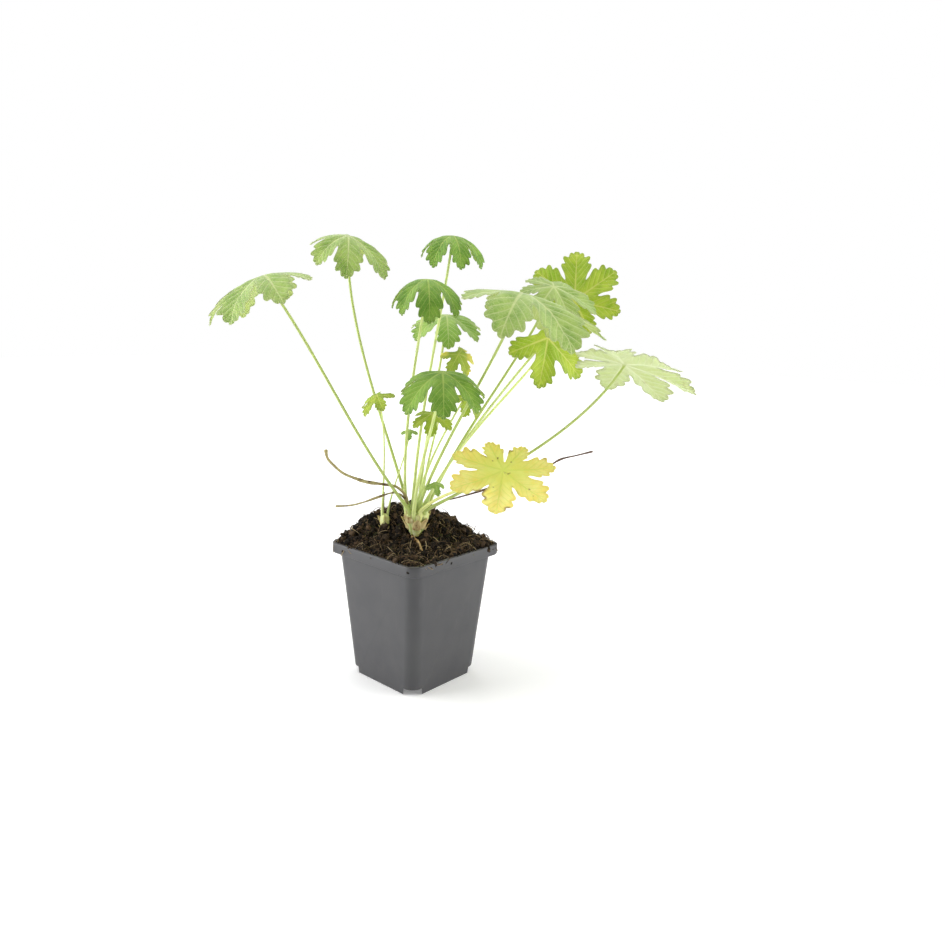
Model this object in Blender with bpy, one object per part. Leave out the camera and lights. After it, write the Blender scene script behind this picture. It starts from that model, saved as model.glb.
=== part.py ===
"""A hardy geranium growing in its square nursery pot.

The pot stands on the origin with its sides along X and Y. The plant has a frame of its own, turned on
the pot by PLANT_TURN: side is to its right, back is away from its front, up is the height over the
table. Sizes are millimetres and degrees, and become metres when a mesh is made.
"""

import math
import random
from typing import NamedTuple

import bpy
from mathutils import Vector, geometry, noise

MM = 0.001
GAP = 0.3

# Pot
POT_HEIGHT = 100.0
RIM_WIDTH = 90.0
RIM_HEIGHT = 7.5
RIM_WALL = 1.8
RIM_ROUND = 0.7
NECK_WIDTH = 81.7
FOOT_WIDTH = 66.3
WALL = 1.2
FLOOR = 1.5
CORNER_RADIUS = 9.0
CORNER_STEPS = 4
NOTCH_HEIGHT = 5.0
NOTCH_WIDTH = 13.0
NOTCH_START = 31.0
FOOT_BEVEL_WIDTH = 0.6
FOOT_BEVEL_HEIGHT = 0.8
DRAIN_RADIUS = 2.5
DRAIN_SIDES = 12
DRAIN_REACH = 36.0

# Soil, heaped towards the back of the plant
SOIL_EDGE = 98.6
HEAP_HEIGHT = 23.0
HEAP_SIDE = -6.0
HEAP_BACK = 12.0
HEAP_HALF_SIDE = 35.0
HEAP_HALF_FRONT = 17.0
HEAP_HALF_BACK = 28.0
SOIL_RINGS = 11
SOIL_SIDE_STEPS = 6
CLOD_SIZE = 7.0
CLOD_HEIGHT = 3.6
SMALL_CLODS = 2.3  # how many times smaller the small clods are
SMALL_CLOD_SHARE = 0.5  # their height as a share of the large ones
CLOD_FLOOR = 0.5  # share of the clod height that lies under the heap's even surface

# Crowns: where they stand, and their half widths by height
PLANT_TURN = 41.5
CROWN_PLACE = (0.5, -4.0)
CROWN_PROFILE = ((96, 2.0), (101, 3.4), (106, 5.2), (110, 6.4), (115, 8.0), (119, 9.6), (123, 10.1))
CROWN_TOP = 124.5
SHOOT_PLACE = (-22.5, -1.0)
SHOOT_PROFILE = ((104, 1.4), (108, 2.6), (113, 3.6), (117, 3.9), (119.5, 3.6))
SHOOT_TOP = 120.5
CROWN_SIDES = 20
CROWN_RIBS = 8
CROWN_RIB_DEPTH = 0.05  # share of the half width
CROWN_TWIST = 0.12  # radians of turn of the ribs in a millimetre of height
CROWN_CLOSE = 0.94  # width of the top as a share of the widest
SOCKET_DEPTH = 5.0
SOCKET_SIDES = 7
SOCKET_SPLAY = 1.1

# Stalks and blades
STALK_SIDES = 5
STALK_STEPS = 8
STALK_TAPER = 0.74
STALK_STRAIGHT = 1.5  # straight length over the crown
LEAVING, ARRIVING = 0.35, 0.3  # shares of its length that a stalk leans out, and comes up under its blade
KNEE = 0.7  # how far a stalk turns square to its blade where it meets it
FLAT = 1e-6
BLADE = 0.75
HUB_BLADE = 1.1
HUB_SPREAD = 1.45
HUB_DROP = 1.3
PLEAT = 0.05
LOBE_EDGE = (
    (0.54, 0.225), (0.68, 0.280), (0.72, 0.205), (0.83, 0.245), (0.86, 0.145), (0.955, 0.12), (1.0, 0.0),
)
LOBE_SPREAD = {7: (0, 51, 102, 152), 5: (0, 60, 116), 3: (0, 70)}
LOBE_LENGTH = {7: (1.0, 0.97, 0.88, 0.68), 5: (1.0, 0.93, 0.78), 3: (1.0, 0.85)}
LOBE_BEARING_PLAY = 1.5
LOBE_LENGTH_PLAY = (0.94, 1.04)
LOBE_CUT = 0.40
SINUS_CUT = 0.14
RIB_POINTS = (0.3, 0.64)  # places of inner points along a lobe
VALLEY_POINT = 0.24  # place of an inner point between two lobes
SWAY = 0.12  # share by which the bend varies round the blade
SWAY_ROUND = 1.5
PLEAT_START = 5.0  # the pleats are full at one part in this many of the radius
MAIN, SIDE = "main", "side"


class Leaf(NamedTuple):
    """One leaf: where its stalk stands, where its blade hangs, and how the blade is bent."""

    base: tuple  # side and back of the stalk's foot from the axis of its crown
    hub: tuple  # side, back and up of the point where the stalk meets the blade
    radius: float  # from the hub to the tip of the middle lobe
    face: tuple  # bearing of the blade's upper face, and its lean from straight up
    spin: float  # turn of the middle lobe from straight downhill
    cup: float  # how far the blade has bent down at its rim
    fold: float = 0.0  # share by which its two sides bend more than its tip
    lean: float = 15.0  # lean of the stalk where it leaves the crown
    rise: float = 25.0  # lean of the stalk under the blade
    stalk: float = 1.15  # radius of the stalk's foot
    lobes: int = 7
    crown: str = MAIN
    finish: str = "leaf_green"


LEAVES = {
    "leaf_01": Leaf((-4.2, -6.1), (-96, -40, 283), 50, (200, 20), -10, 50, 0.1, 38, 48),
    "leaf_02": Leaf((-6.1, 4.3), (-55, 36, 316), 43, (305, 20), 30, 68, 0.2, 22, 4),
    "leaf_03": Leaf((-3.1, 6.7), (21, 22, 317), 35, (290, 10), 0, 82, 0.0, 3, 12),
    "leaf_04": Leaf((-7.4, 0.6), (6, -12, 285), 39, (280, 10), 0, 88, 0.0, -6, 14),
    "leaf_05": Leaf((1.3, 7.3), (17, 45, 262), 36, (275, 15), 0, 48, 0.1, 6, 18),
    "leaf_06": Leaf((1.0, -3.6), (68, -42, 277), 63, (345, 12), 15, 44, 0.4, 20, 28),
    "leaf_07": Leaf((7.0, 2.5), (95, 38, 285), 38, (290, 30), 60, 36, 0.2, 24, 28),
    "leaf_08": Leaf((4.8, 5.7), (115, 70, 277), 44, (262, 72), 182, 12, 0.0, 28, 32),
    "leaf_09": Leaf((3.6, -1.0), (90, 14, 249), 40, (295, 66), 45, 16, 0.0, 28, 35, 1.15, 5),
    "leaf_10": Leaf((6.1, -4.2), (138, -27, 234), 54, (50, 22), -60, 14, 0.0, 60, 42),
    "leaf_11": Leaf((-1.3, -7.3), (19, -50, 226), 40, (275, 15), 0, 68, 0.0, 12, 24),
    "leaf_12": Leaf((0.0, 0.0), (33, 5, 206), 19, (330, 45), 20, 40, 0.0, 8, 20, 0.95, 5),
    "leaf_13": Leaf((-2.6, -2.6), (11, -13, 195), 19, (270, 30), 0, 45, 0.0, 8, 15, 0.95, 5),
    "leaf_14": Leaf((-1.9, -0.6), (-26, -18, 207), 18, (220, 35), 0, 35, 0.0, -12, 12, 0.7, 5, SIDE),
    "leaf_15": Leaf((2.6, 2.6), (27, 22, 235), 18, (300, 48), 20, 45, 0.0, 8, 12, 0.9, 5),
    "leaf_16": Leaf((1.9, 0.8), (-6, 4, 181), 8.5, (270, 40), 0, 25, 0.0, 10, 10, 0.6, 3, SIDE),
    "leaf_yellow": Leaf((3.1, -6.7), (60, -48, 164), 41, (272, 34), -8, -14, 0.0, 45, 75,
                        finish="leaf_yellow"),
    "leaf_young": Leaf((7.3, -1.1), (14, -15, 147), 10, (300, 50), 0, 30, 0.3, 12, 25, 0.8, 3),
}

# Dried stalks: places of the plant's frame that each one passes, and its radius
OLD_STALK = ((-6, -7, 117), (-6, -8, 126), (-7, -9, 136), (-13, -11, 143), (-21, -13, 145), (-33, -16, 147),
             (-41, -19, 150), (-49, -22, 154), (-55, -25, 160), (-59, -26, 165), (-60, -27, 171))
OLD_BRANCH = ((-7, -9, 133), (-10, -10, 137), (-16, -12, 139), (-26, -14, 136), (-35, -17, 133),
              (-44, -20, 131), (-54, -24, 131))
THIN_STALK = ((13, 7, 112), (13, 7, 124), (18, 7, 129), (31, 7, 133), (46, 7, 138), (64, 8, 145),
              (82, 10, 152), (94, 12, 156), (104, 14, 162), (116, 16, 165), (128, 18, 168))
STUB_STALK = ((-24.5, 5, 113), (-24, 4.5, 122), (-24, 4, 129), (-24, 4, 136))
OLD_RADIUS = 0.95
BRANCH_RADIUS = 0.6
THIN_RADIUS = 0.6
STUB_RADIUS = 0.5
SCAR = 1.5


class Mesh:
    """Points in millimetres and the faces between them, gathered before a Blender mesh is made."""

    def __init__(self):
        self.points = []
        self.faces = []

    def add(self, points):
        """Adds points, and returns their indices."""
        first = len(self.points)
        self.points += [Vector(p) for p in points]
        return list(range(first, first + len(points)))

    def bridge(self, lower, upper):
        """Triangles round a tube from one ring to the next, both counterclockwise seen from its far end."""
        for i, a in enumerate(lower):
            b = lower[(i + 1) % len(lower)]
            c = upper[(i + 1) % len(upper)]
            d = upper[i]
            self.faces += [(a, b, c), (a, c, d)]

    def fan(self, ring, middle):
        """Triangles from a ring to one point."""
        for i, a in enumerate(ring):
            self.faces.append((a, ring[(i + 1) % len(ring)], middle))


def in_plant(side, back, up=0.0):
    """A place of the plant's frame in the pot's."""
    turn = math.radians(PLANT_TURN)
    x = side * math.cos(turn) - back * math.sin(turn)
    y = side * math.sin(turn) + back * math.cos(turn)
    return Vector((x, y, up))


def slanted(bearing, lean):
    """The direction that leans from straight up towards a bearing of the plant's frame."""
    bearing, lean = math.radians(bearing), math.radians(lean)
    flat = math.sin(lean)
    return in_plant(flat * math.cos(bearing), flat * math.sin(bearing), math.cos(lean))


def finish(name, colour, roughness):
    """The named plain material, made on first use."""
    material = bpy.data.materials.get(name)
    if material is None:
        material = bpy.data.materials.new(name)
        material.use_nodes = True
        shader = material.node_tree.nodes["Principled BSDF"]
        shader.inputs["Base Color"].default_value = (*colour, 1.0)
        shader.inputs["Roughness"].default_value = roughness
        shader.inputs["Metallic"].default_value = 0.0
    return material


FINISHES = {
    "pot_plastic": ((0.125, 0.125, 0.135), 0.5),
    "potting_mix": ((0.03, 0.018, 0.012), 0.95),
    "crown_pale": ((0.55, 0.62, 0.28), 0.6),
    "leaf_green": ((0.17, 0.36, 0.05), 0.6),
    "leaf_yellow": ((0.85, 0.72, 0.15), 0.6),
    "dry_stalk": ((0.22, 0.17, 0.11), 0.7),
}


def placed(name, mesh, finish_name):
    """A scene object of this mesh, in metres."""
    data = bpy.data.meshes.new(name)
    data.from_pydata([p * MM for p in mesh.points], [], mesh.faces)
    data.validate()
    obj = bpy.data.objects.new(name, data)
    bpy.context.scene.collection.objects.link(obj)
    data.materials.append(finish(finish_name, *FINISHES[finish_name]))
    data.shade_smooth()
    data.set_sharp_from_angle(angle=math.radians(40))
    return obj


def combine(obj, other, operation):
    """One Boolean of two objects, applied; the other object goes."""
    modifier = obj.modifiers.new(operation.title(), "BOOLEAN")
    modifier.operation = operation
    modifier.object = other
    bpy.context.view_layer.update()
    graph = bpy.context.evaluated_depsgraph_get()
    result = bpy.data.meshes.new_from_object(obj.evaluated_get(graph))
    obj.modifiers.remove(modifier)
    result.name = obj.name
    obj.data = result
    bpy.data.objects.remove(other)
    return obj


def rounded_square(half, up, side_steps=1):
    """A square ring with round corners, counterclockwise from above."""
    ring = []
    for quarter in range(4):
        turn = math.radians(90 * quarter)
        corner = []
        for i in range(CORNER_STEPS + 1):
            angle = math.radians(90 * i / CORNER_STEPS)
            reach = half - CORNER_RADIUS
            corner.append((reach + CORNER_RADIUS * math.cos(angle), reach + CORNER_RADIUS * math.sin(angle)))
        last = corner[-1]
        for i in range(1, side_steps):
            corner.append((last[0] * (1 - 2 * i / side_steps), last[1]))
        ring += [
            (x * math.cos(turn) - y * math.sin(turn), x * math.sin(turn) + y * math.cos(turn), up)
            for x, y in corner
        ]
    return ring


def lofted(rings):
    """A closed mesh through rings of equal count, from the lowest up, with flat ends."""
    mesh = Mesh()
    indices = [mesh.add(ring) for ring in rings]
    for lower, upper in zip(indices, indices[1:]):
        mesh.bridge(lower, upper)
    foot = mesh.add([sum((Vector(p) for p in rings[0]), Vector()) / len(rings[0])])[0]
    top = mesh.add([sum((Vector(p) for p in rings[-1]), Vector()) / len(rings[-1])])[0]
    mesh.fan(indices[0][::-1], foot)
    mesh.fan(indices[-1], top)
    return mesh


def corner_blocks(grow):
    """The four blocks of the foot's corner notches, larger all round by grow."""
    mesh = Mesh()
    for quarter in range(4):
        angle = math.radians(45 + 90 * quarter)
        out = Vector((math.cos(angle), math.sin(angle), 0))
        across = Vector((-out.y, out.x, 0))
        half = NOTCH_WIDTH / 2 + grow
        near = NOTCH_START - grow
        far = FOOT_WIDTH
        flat = [(near, -half), (far, -half), (far, half), (near, half)]
        rings = [[out * r + across * w + Vector((0, 0, up)) for r, w in flat]
                 for up in (-NOTCH_HEIGHT, NOTCH_HEIGHT + grow)]
        lower, upper = (mesh.add(ring) for ring in rings)
        mesh.bridge(lower, upper)
        mesh.faces += [tuple(lower[::-1]), tuple(upper)]
    return mesh


def drain_pins():
    """The four cutters of the drain holes, in the notches."""
    mesh = Mesh()
    for quarter in range(4):
        angle = math.radians(45 + 90 * quarter)
        centre = Vector((math.cos(angle), math.sin(angle), 0)) * DRAIN_REACH
        rings = []
        for up in (0.0, 2 * NOTCH_HEIGHT):
            turns = [math.tau * i / DRAIN_SIDES for i in range(DRAIN_SIDES)]
            rings.append([centre + Vector((DRAIN_RADIUS * math.cos(t), DRAIN_RADIUS * math.sin(t), up))
                          for t in turns])
        lower, upper = (mesh.add(ring) for ring in rings)
        mesh.bridge(lower, upper)
        mesh.faces += [tuple(lower[::-1]), tuple(upper)]
    return mesh


def inside_rings(gap, top, side_steps=1):
    """Rings of the pot's inside, smaller by the gap, up to a height."""
    neck = POT_HEIGHT - RIM_HEIGHT
    slope = (NECK_WIDTH - FOOT_WIDTH) / 2 / neck
    floor = FLOOR + gap
    rim_half = RIM_WIDTH / 2 - RIM_WALL - gap
    levels = (
        (floor, FOOT_WIDTH / 2 + slope * floor - WALL - gap),
        (neck + WALL + gap, NECK_WIDTH / 2 - WALL - gap),
        (neck + 2 * WALL + gap, rim_half),
        (top, rim_half),
    )
    return [rounded_square(half, up, side_steps) for up, half in levels]


def make_pot():
    """The pot: a thin tapering shell with a rim band, foot notches and drain holes."""
    neck = POT_HEIGHT - RIM_HEIGHT
    rim = RIM_WIDTH / 2
    levels = (
        (0.0, FOOT_WIDTH / 2 - FOOT_BEVEL_WIDTH),
        (FOOT_BEVEL_HEIGHT, FOOT_WIDTH / 2),
        (neck, NECK_WIDTH / 2),
        (neck, rim - RIM_ROUND),
        (neck + RIM_ROUND, rim),
        (POT_HEIGHT - RIM_ROUND, rim),
        (POT_HEIGHT, rim - RIM_ROUND),
    )
    pot = placed("pot", lofted([rounded_square(half, up) for up, half in levels]), "pot_plastic")
    combine(pot, placed("notches", corner_blocks(0.0), "pot_plastic"), "DIFFERENCE")
    hollow = placed("hollow", lofted(inside_rings(0.0, POT_HEIGHT + 5)), "pot_plastic")
    combine(hollow, placed("steps", corner_blocks(WALL), "pot_plastic"), "DIFFERENCE")
    combine(pot, hollow, "DIFFERENCE")
    combine(pot, placed("drains", drain_pins(), "pot_plastic"), "DIFFERENCE")
    return pot


def heap(point):
    """Height of the soil's surface over a point of the pot's frame."""
    turn = math.radians(-PLANT_TURN)
    side = point.x * math.cos(turn) - point.y * math.sin(turn) - HEAP_SIDE
    back = point.x * math.sin(turn) + point.y * math.cos(turn) - HEAP_BACK
    half_back = HEAP_HALF_BACK if back > 0 else HEAP_HALF_FRONT
    away = math.hypot(side / HEAP_HALF_SIDE, back / half_back)
    mound = HEAP_HEIGHT / (1 + away ** 4)
    spot = Vector((point.x, point.y, 0)) / CLOD_SIZE
    clods = abs(noise.noise(spot)) + SMALL_CLOD_SHARE * abs(noise.noise(spot * SMALL_CLODS))
    return SOIL_EDGE + mound + CLOD_HEIGHT * (2 * clods - CLOD_FLOOR)


def make_soil():
    """The potting mix: it fills the pot to its walls and is heaped over the rim."""
    rings = inside_rings(GAP, SOIL_EDGE, SOIL_SIDE_STEPS)
    edge = [Vector(p) for p in rings[-1]]
    for i in range(1, SOIL_RINGS):
        share = 1 - i / SOIL_RINGS
        ring = []
        for p in edge:
            spot = Vector((p.x * share, p.y * share, 0))
            near_edge = min(1.0, i / 2)
            ring.append(Vector((spot.x, spot.y, SOIL_EDGE + (heap(spot) - SOIL_EDGE) * near_edge)))
        rings.append(ring)
    mesh = lofted(rings)
    mesh.points[-1].z = heap(mesh.points[-1])
    soil = placed("soil", mesh, "potting_mix")
    combine(soil, placed("steps", corner_blocks(WALL + GAP), "potting_mix"), "DIFFERENCE")
    return soil


def crown_rings(place, profile, top, grow):
    """Rings of a ribbed clump of stalk bases, larger by grow."""
    centre = in_plant(*place)
    rings = []
    levels = list(profile) + [(top, profile[-1][1] * CROWN_CLOSE)]
    for up, half in levels:
        ring = []
        for i in range(CROWN_SIDES):
            angle = math.tau * i / CROWN_SIDES
            rib = 1 + CROWN_RIB_DEPTH * math.cos(CROWN_RIBS * angle + up * CROWN_TWIST)
            reach = half * rib + grow
            ring.append(centre + Vector((reach * math.cos(angle), reach * math.sin(angle), up)))
        rings.append(ring)
    rings[0] = [p - Vector((0, 0, grow)) for p in rings[0]]
    return rings


def make_crown(name, place, profile, top, sockets):
    """A crown with a plain hole for each stalk that stands in it."""
    crown = placed(name, lofted(crown_rings(place, profile, top, 0.0)), "crown_pale")
    for socket in sockets:
        combine(crown, placed("socket", socket, "crown_pale"), "DIFFERENCE")
    return crown


def frames_along(points, first_across):
    """For each point of a path, two directions across it that don't twist."""
    across = first_across
    result = []
    for i in range(len(points)):
        along = (points[min(i + 1, len(points) - 1)] - points[max(i - 1, 0)]).normalized()
        across = (across - along * across.dot(along)).normalized()
        result.append((across, along.cross(across)))
    return result


def tube_rings(points, radii, sides, first_across):
    """Rings round a path, one for each of its points."""
    rings = []
    for p, radius, (a, b) in zip(points, radii, frames_along(points, first_across)):
        turns = [math.tau * i / sides for i in range(sides)]
        rings.append([p + a * (radius * math.cos(t)) + b * (radius * math.sin(t)) for t in turns])
    return rings


def curve_points(start, handle, far_handle, end, steps):
    """Points of a cubic curve, its start left out."""
    points = []
    for i in range(1, steps + 1):
        t = i / steps
        s = 1 - t
        points.append(start * s ** 3 + handle * (3 * s * s * t) + far_handle * (3 * s * t * t) + end * t ** 3)
    return points


def socket_axis(leaf):
    """The foot of a leaf's stalk, and the direction in which it stands in its crown."""
    place, top = (CROWN_PLACE, CROWN_TOP) if leaf.crown == MAIN else (SHOOT_PLACE, SHOOT_TOP)
    out = math.hypot(*leaf.base)
    bearing = math.degrees(math.atan2(leaf.base[1], leaf.base[0])) if out else 0.0
    along = slanted(bearing, SOCKET_SPLAY * out)
    mouth = in_plant(place[0] + leaf.base[0], place[1] + leaf.base[1], top)
    return mouth - along * SOCKET_DEPTH, along


def stalk_path(leaf):
    """Points of a stalk from its foot in the crown to just under its blade."""
    foot, along = socket_axis(leaf)
    normal = slanted(*leaf.face)
    end = in_plant(*leaf.hub) - normal * HUB_DROP
    start = foot + along * (SOCKET_DEPTH + STALK_STRAIGHT)
    chord = end - start
    turn = math.radians(-PLANT_TURN)
    side = chord.x * math.cos(turn) - chord.y * math.sin(turn)
    back = chord.x * math.sin(turn) + chord.y * math.cos(turn)
    bearing = math.degrees(math.atan2(back, side))
    handle = start + slanted(bearing, leaf.lean) * (chord.length * LEAVING)
    arriving = (slanted(bearing, leaf.rise) + normal * KNEE).normalized()
    far_handle = end - arriving * (chord.length * ARRIVING)
    return [foot, start] + curve_points(start, handle, far_handle, end, STALK_STEPS)


def socket_pin(foot, along, radius):
    """The cutter of one plain hole, wider than its stalk by the gap."""
    length = SOCKET_DEPTH * 3
    start = foot - along * GAP
    wide = (radius + GAP) / math.cos(math.pi / SOCKET_SIDES)
    across = Vector((0, 0, 1)).cross(along)
    across = across.normalized() if across.length > 0.01 else Vector((1, 0, 0))
    return lofted(tube_rings([start, start + along * length], [wide, wide], SOCKET_SIDES, across))


def lobes_of(leaf, rng):
    """Bearing in the blade and length of each lobe, in order round the blade."""
    spread, lengths = LOBE_SPREAD[leaf.lobes], LOBE_LENGTH[leaf.lobes]
    lobes = []
    for i in range(-(len(spread) - 1), len(spread)):
        bearing = math.copysign(spread[abs(i)], i) + rng.uniform(-LOBE_BEARING_PLAY, LOBE_BEARING_PLAY)
        lobes.append((math.radians(bearing), lengths[abs(i)] * rng.uniform(*LOBE_LENGTH_PLAY)))
    return lobes


def blade_outline(lobes):
    """The toothed outline of a blade of radius 1, its middle lobe along X."""
    outline = [Vector((-SINUS_CUT, 0))]
    for i, (bearing, length) in enumerate(lobes):
        out = Vector((math.cos(bearing), math.sin(bearing)))
        left = Vector((-out.y, out.x))
        right_side = [(a, -c) for a, c in LOBE_EDGE]
        left_side = [(a, c) for a, c in LOBE_EDGE[-2::-1]]
        outline += [(out * a + left * c) * length for a, c in right_side + left_side]
        if i + 1 < len(lobes):
            between = (bearing + lobes[i + 1][0]) / 2
            outline.append(Vector((math.cos(between), math.sin(between))) * LOBE_CUT)
    return outline


def blade_inner_points(lobes):
    """Points inside a blade of radius 1, on its ribs and in its valleys."""
    points = [Vector((math.cos(b), math.sin(b))) * (length * share) for b, length in lobes
              for share in RIB_POINTS]
    for (b, _), (c, _) in zip(lobes, lobes[1:]):
        points.append(Vector((math.cos((b + c) / 2), math.sin((b + c) / 2))) * VALLEY_POINT)
    return points


def blade_plan(leaf, rng):
    """Flat points and triangles of a blade in millimetres, the ring of its hub first, then its outline."""
    lobes = lobes_of(leaf, rng)
    hub_ring = [Vector((math.cos(t), math.sin(t))) * (leaf.stalk * HUB_SPREAD)
               for t in (math.tau * i / STALK_SIDES for i in range(STALK_SIDES))]
    outline = [p * leaf.radius for p in blade_outline(lobes)]
    inner = [p * leaf.radius for p in blade_inner_points(lobes)]
    flat = hub_ring + outline + [Vector((0, 0))] + inner
    count = len(hub_ring)
    edges = [(i, (i + 1) % count) for i in range(count)]
    edges += [(count + i, count + (i + 1) % len(outline)) for i in range(len(outline))]
    points, _, faces, *_ = geometry.delaunay_2d_cdt(flat, edges, [], 1, 1e-4)
    faces = [f for f in faces if inside(sum((points[i] for i in f), Vector((0, 0))) / 3, outline)]
    return points, faces, len(outline), lobes


def inside(point, outline):
    """Whether a point lies in a closed outline."""
    crossings = 0
    for i, a in enumerate(outline):
        b = outline[(i + 1) % len(outline)]
        if (a.y > point.y) != (b.y > point.y):
            crossings += point.x < a.x + (b.x - a.x) * (point.y - a.y) / (b.y - a.y)
    return crossings % 2 == 1


def pleat_at(bearing, lobes):
    """From -1 on the middle of a lobe to 1 between two lobes."""
    bearings = [b for b, _ in lobes]
    if bearing <= bearings[0] or bearing >= bearings[-1]:
        return -1.0
    for low, high in zip(bearings, bearings[1:]):
        if low <= bearing <= high:
            return -math.cos(math.tau * (bearing - low) / (high - low))
    return -1.0


def bent(flat, leaf, lobes, droops):
    """Middle and upward direction, in the blade's frame, of a flat point once the blade is bent."""
    reach = flat.length
    bearing = math.atan2(flat.y, flat.x)
    sides = 1 - leaf.fold * math.cos(2 * bearing)
    spot = Vector((SWAY_ROUND * math.cos(bearing), SWAY_ROUND * math.sin(bearing), droops))
    sway = 1 + SWAY * noise.noise(spot)
    bend = math.radians(leaf.cup) * sides * sway / leaf.radius
    slope = bend * reach
    out, drop = reach, 0.0
    if abs(slope) > FLAT:
        out, drop = math.sin(slope) / bend, (1 - math.cos(slope)) / bend
    ray = Vector((math.cos(bearing), math.sin(bearing), 0))
    up = ray * math.sin(slope) + Vector((0, 0, math.cos(slope)))
    ridge = PLEAT * reach * pleat_at(bearing, lobes) * min(1.0, PLEAT_START * reach / leaf.radius)
    return ray * out - Vector((0, 0, drop)) + up * ridge, up


def make_leaf(name, leaf, seed):
    """One leaf: its toothed, bent blade and its stalk in one closed mesh."""
    rng = random.Random(seed)
    flat, triangles, rim_count, lobes = blade_plan(leaf, rng)
    normal = slanted(*leaf.face)
    downhill = slanted(leaf.face[0], leaf.face[1] + 90)
    spin = math.radians(leaf.spin)
    tip = downhill * math.cos(spin) + normal.cross(downhill) * math.sin(spin)
    side = normal.cross(tip)
    hub = in_plant(*leaf.hub) + normal * (HUB_BLADE / 2)
    top, bottom = [], []
    for p in flat:
        middle, up = bent(p, leaf, lobes, seed)
        share = min(1.0, p.length / leaf.radius * 2)
        half = (HUB_BLADE + (BLADE - HUB_BLADE) * share) / 2
        for result, offset in ((top, half), (bottom, -half)):
            q = middle + up * offset
            result.append(hub + tip * q.x + side * q.y + normal * q.z)
    mesh = Mesh()
    upper, lower = mesh.add(top), mesh.add(bottom)
    hub_ring = list(range(STALK_SIDES))
    for a, b, c in triangles:
        mesh.faces.append((upper[a], upper[b], upper[c]))
        if not max(flat[i].length for i in (a, b, c)) < leaf.stalk * HUB_SPREAD * 1.01:
            mesh.faces.append((lower[c], lower[b], lower[a]))
    rim = range(STALK_SIDES, STALK_SIDES + rim_count)
    for i in rim:
        j = rim[0] + (i - rim[0] + 1) % rim_count
        mesh.faces += [(lower[i], lower[j], upper[j]), (lower[i], upper[j], upper[i])]
    path = stalk_path(leaf)
    add_stalk(mesh, path, leaf.stalk, tip, [lower[i] for i in hub_ring])
    return placed(name, drop_unused(mesh), leaf.finish)


def add_stalk(mesh, path, radius, tip, hub_ring):
    """The stalk's tube, from the ring under the blade's hub down to its foot."""
    down = path[::-1]
    count = len(down)
    radii = [radius * (STALK_TAPER + (1 - STALK_TAPER) * i / (count - 1)) for i in range(count)]
    rings = tube_rings(down, radii, STALK_SIDES, tip)
    previous = hub_ring
    for ring in rings:
        indices = mesh.add([ring[0]] + ring[:0:-1])
        mesh.bridge(indices, previous)
        previous = indices
    mesh.fan(previous[::-1], mesh.add([path[0]])[0])


def smooth_path(places, steps=3):
    """A path through places of the plant's frame, rounded between them."""
    places = [in_plant(*p) for p in places]
    path = [places[0]]
    for i in range(len(places) - 1):
        before, after = places[max(i - 1, 0)], places[min(i + 2, len(places) - 1)]
        a, b = places[i], places[i + 1]
        path += curve_points(a, a + (b - before) / 6, b - (after - a) / 6, b, steps)
    return path


def dry_stalk(name, places, radius, steps=2):
    """A dried stalk with a blunt scar at its end."""
    path = smooth_path(places, steps)
    radii = [radius] * (len(path) - 2) + [radius * SCAR, radius * SCAR]
    along = (path[1] - path[0]).normalized()
    across = along.cross(Vector((1, 1, 0))).normalized()
    return placed(name, lofted(tube_rings(path, radii, STALK_SIDES, across)), "dry_stalk")


def socket_of(places, radius, steps=2):
    """The cutter of the hole that a dried stalk stands in."""
    path = smooth_path(places, steps)[:2 * steps + 1]
    along = (path[1] - path[0]).normalized()
    across = along.cross(Vector((1, 1, 0))).normalized()
    path[0] = path[0] - along * GAP
    wide = (radius + GAP) / math.cos(math.pi / SOCKET_SIDES)
    return lofted(tube_rings(path, [wide] * len(path), SOCKET_SIDES, across))


def drop_unused(mesh):
    """The mesh without points that no face uses."""
    used = sorted({i for face in mesh.faces for i in face})
    index = {old: new for new, old in enumerate(used)}
    kept = Mesh()
    kept.points = [mesh.points[i] for i in used]
    kept.faces = [tuple(index[i] for i in face) for face in mesh.faces]
    return kept


def main():
    """Builds the pot, the soil, the crowns, the leaves and the dried stalks."""
    for obj in list(bpy.data.objects):
        bpy.data.objects.remove(obj)
    make_pot()
    soil = make_soil()
    sockets = {MAIN: [], SIDE: []}
    for seed, (name, leaf) in enumerate(LEAVES.items()):
        make_leaf(name, leaf, seed)
        foot, along = socket_axis(leaf)
        sockets[leaf.crown].append(socket_pin(foot, along, leaf.stalk))
    crowns = (
        ("crown_main", CROWN_PLACE, CROWN_PROFILE, CROWN_TOP, sockets[MAIN]),
        ("crown_side", SHOOT_PLACE, SHOOT_PROFILE, SHOOT_TOP, sockets[SIDE]),
    )
    old = dry_stalk("dead_stalk_left", OLD_STALK, OLD_RADIUS)
    combine(old, dry_stalk("branch", OLD_BRANCH, BRANCH_RADIUS), "UNION")
    sockets[MAIN].append(socket_of(OLD_STALK, OLD_RADIUS))
    loose = (("dead_stalk_right", THIN_STALK, THIN_RADIUS), ("stub_left", STUB_STALK, STUB_RADIUS))
    for name, places, radius in loose:
        dry_stalk(name, places, radius)
        combine(soil, placed("hole", socket_of(places, radius), "potting_mix"), "DIFFERENCE")
    for name, place, profile, top, pins in crowns:
        make_crown(name, place, profile, top, pins)
        mould = placed("mould", lofted(crown_rings(place, profile, top, GAP)), "potting_mix")
        combine(soil, mould, "DIFFERENCE")


main()
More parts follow.
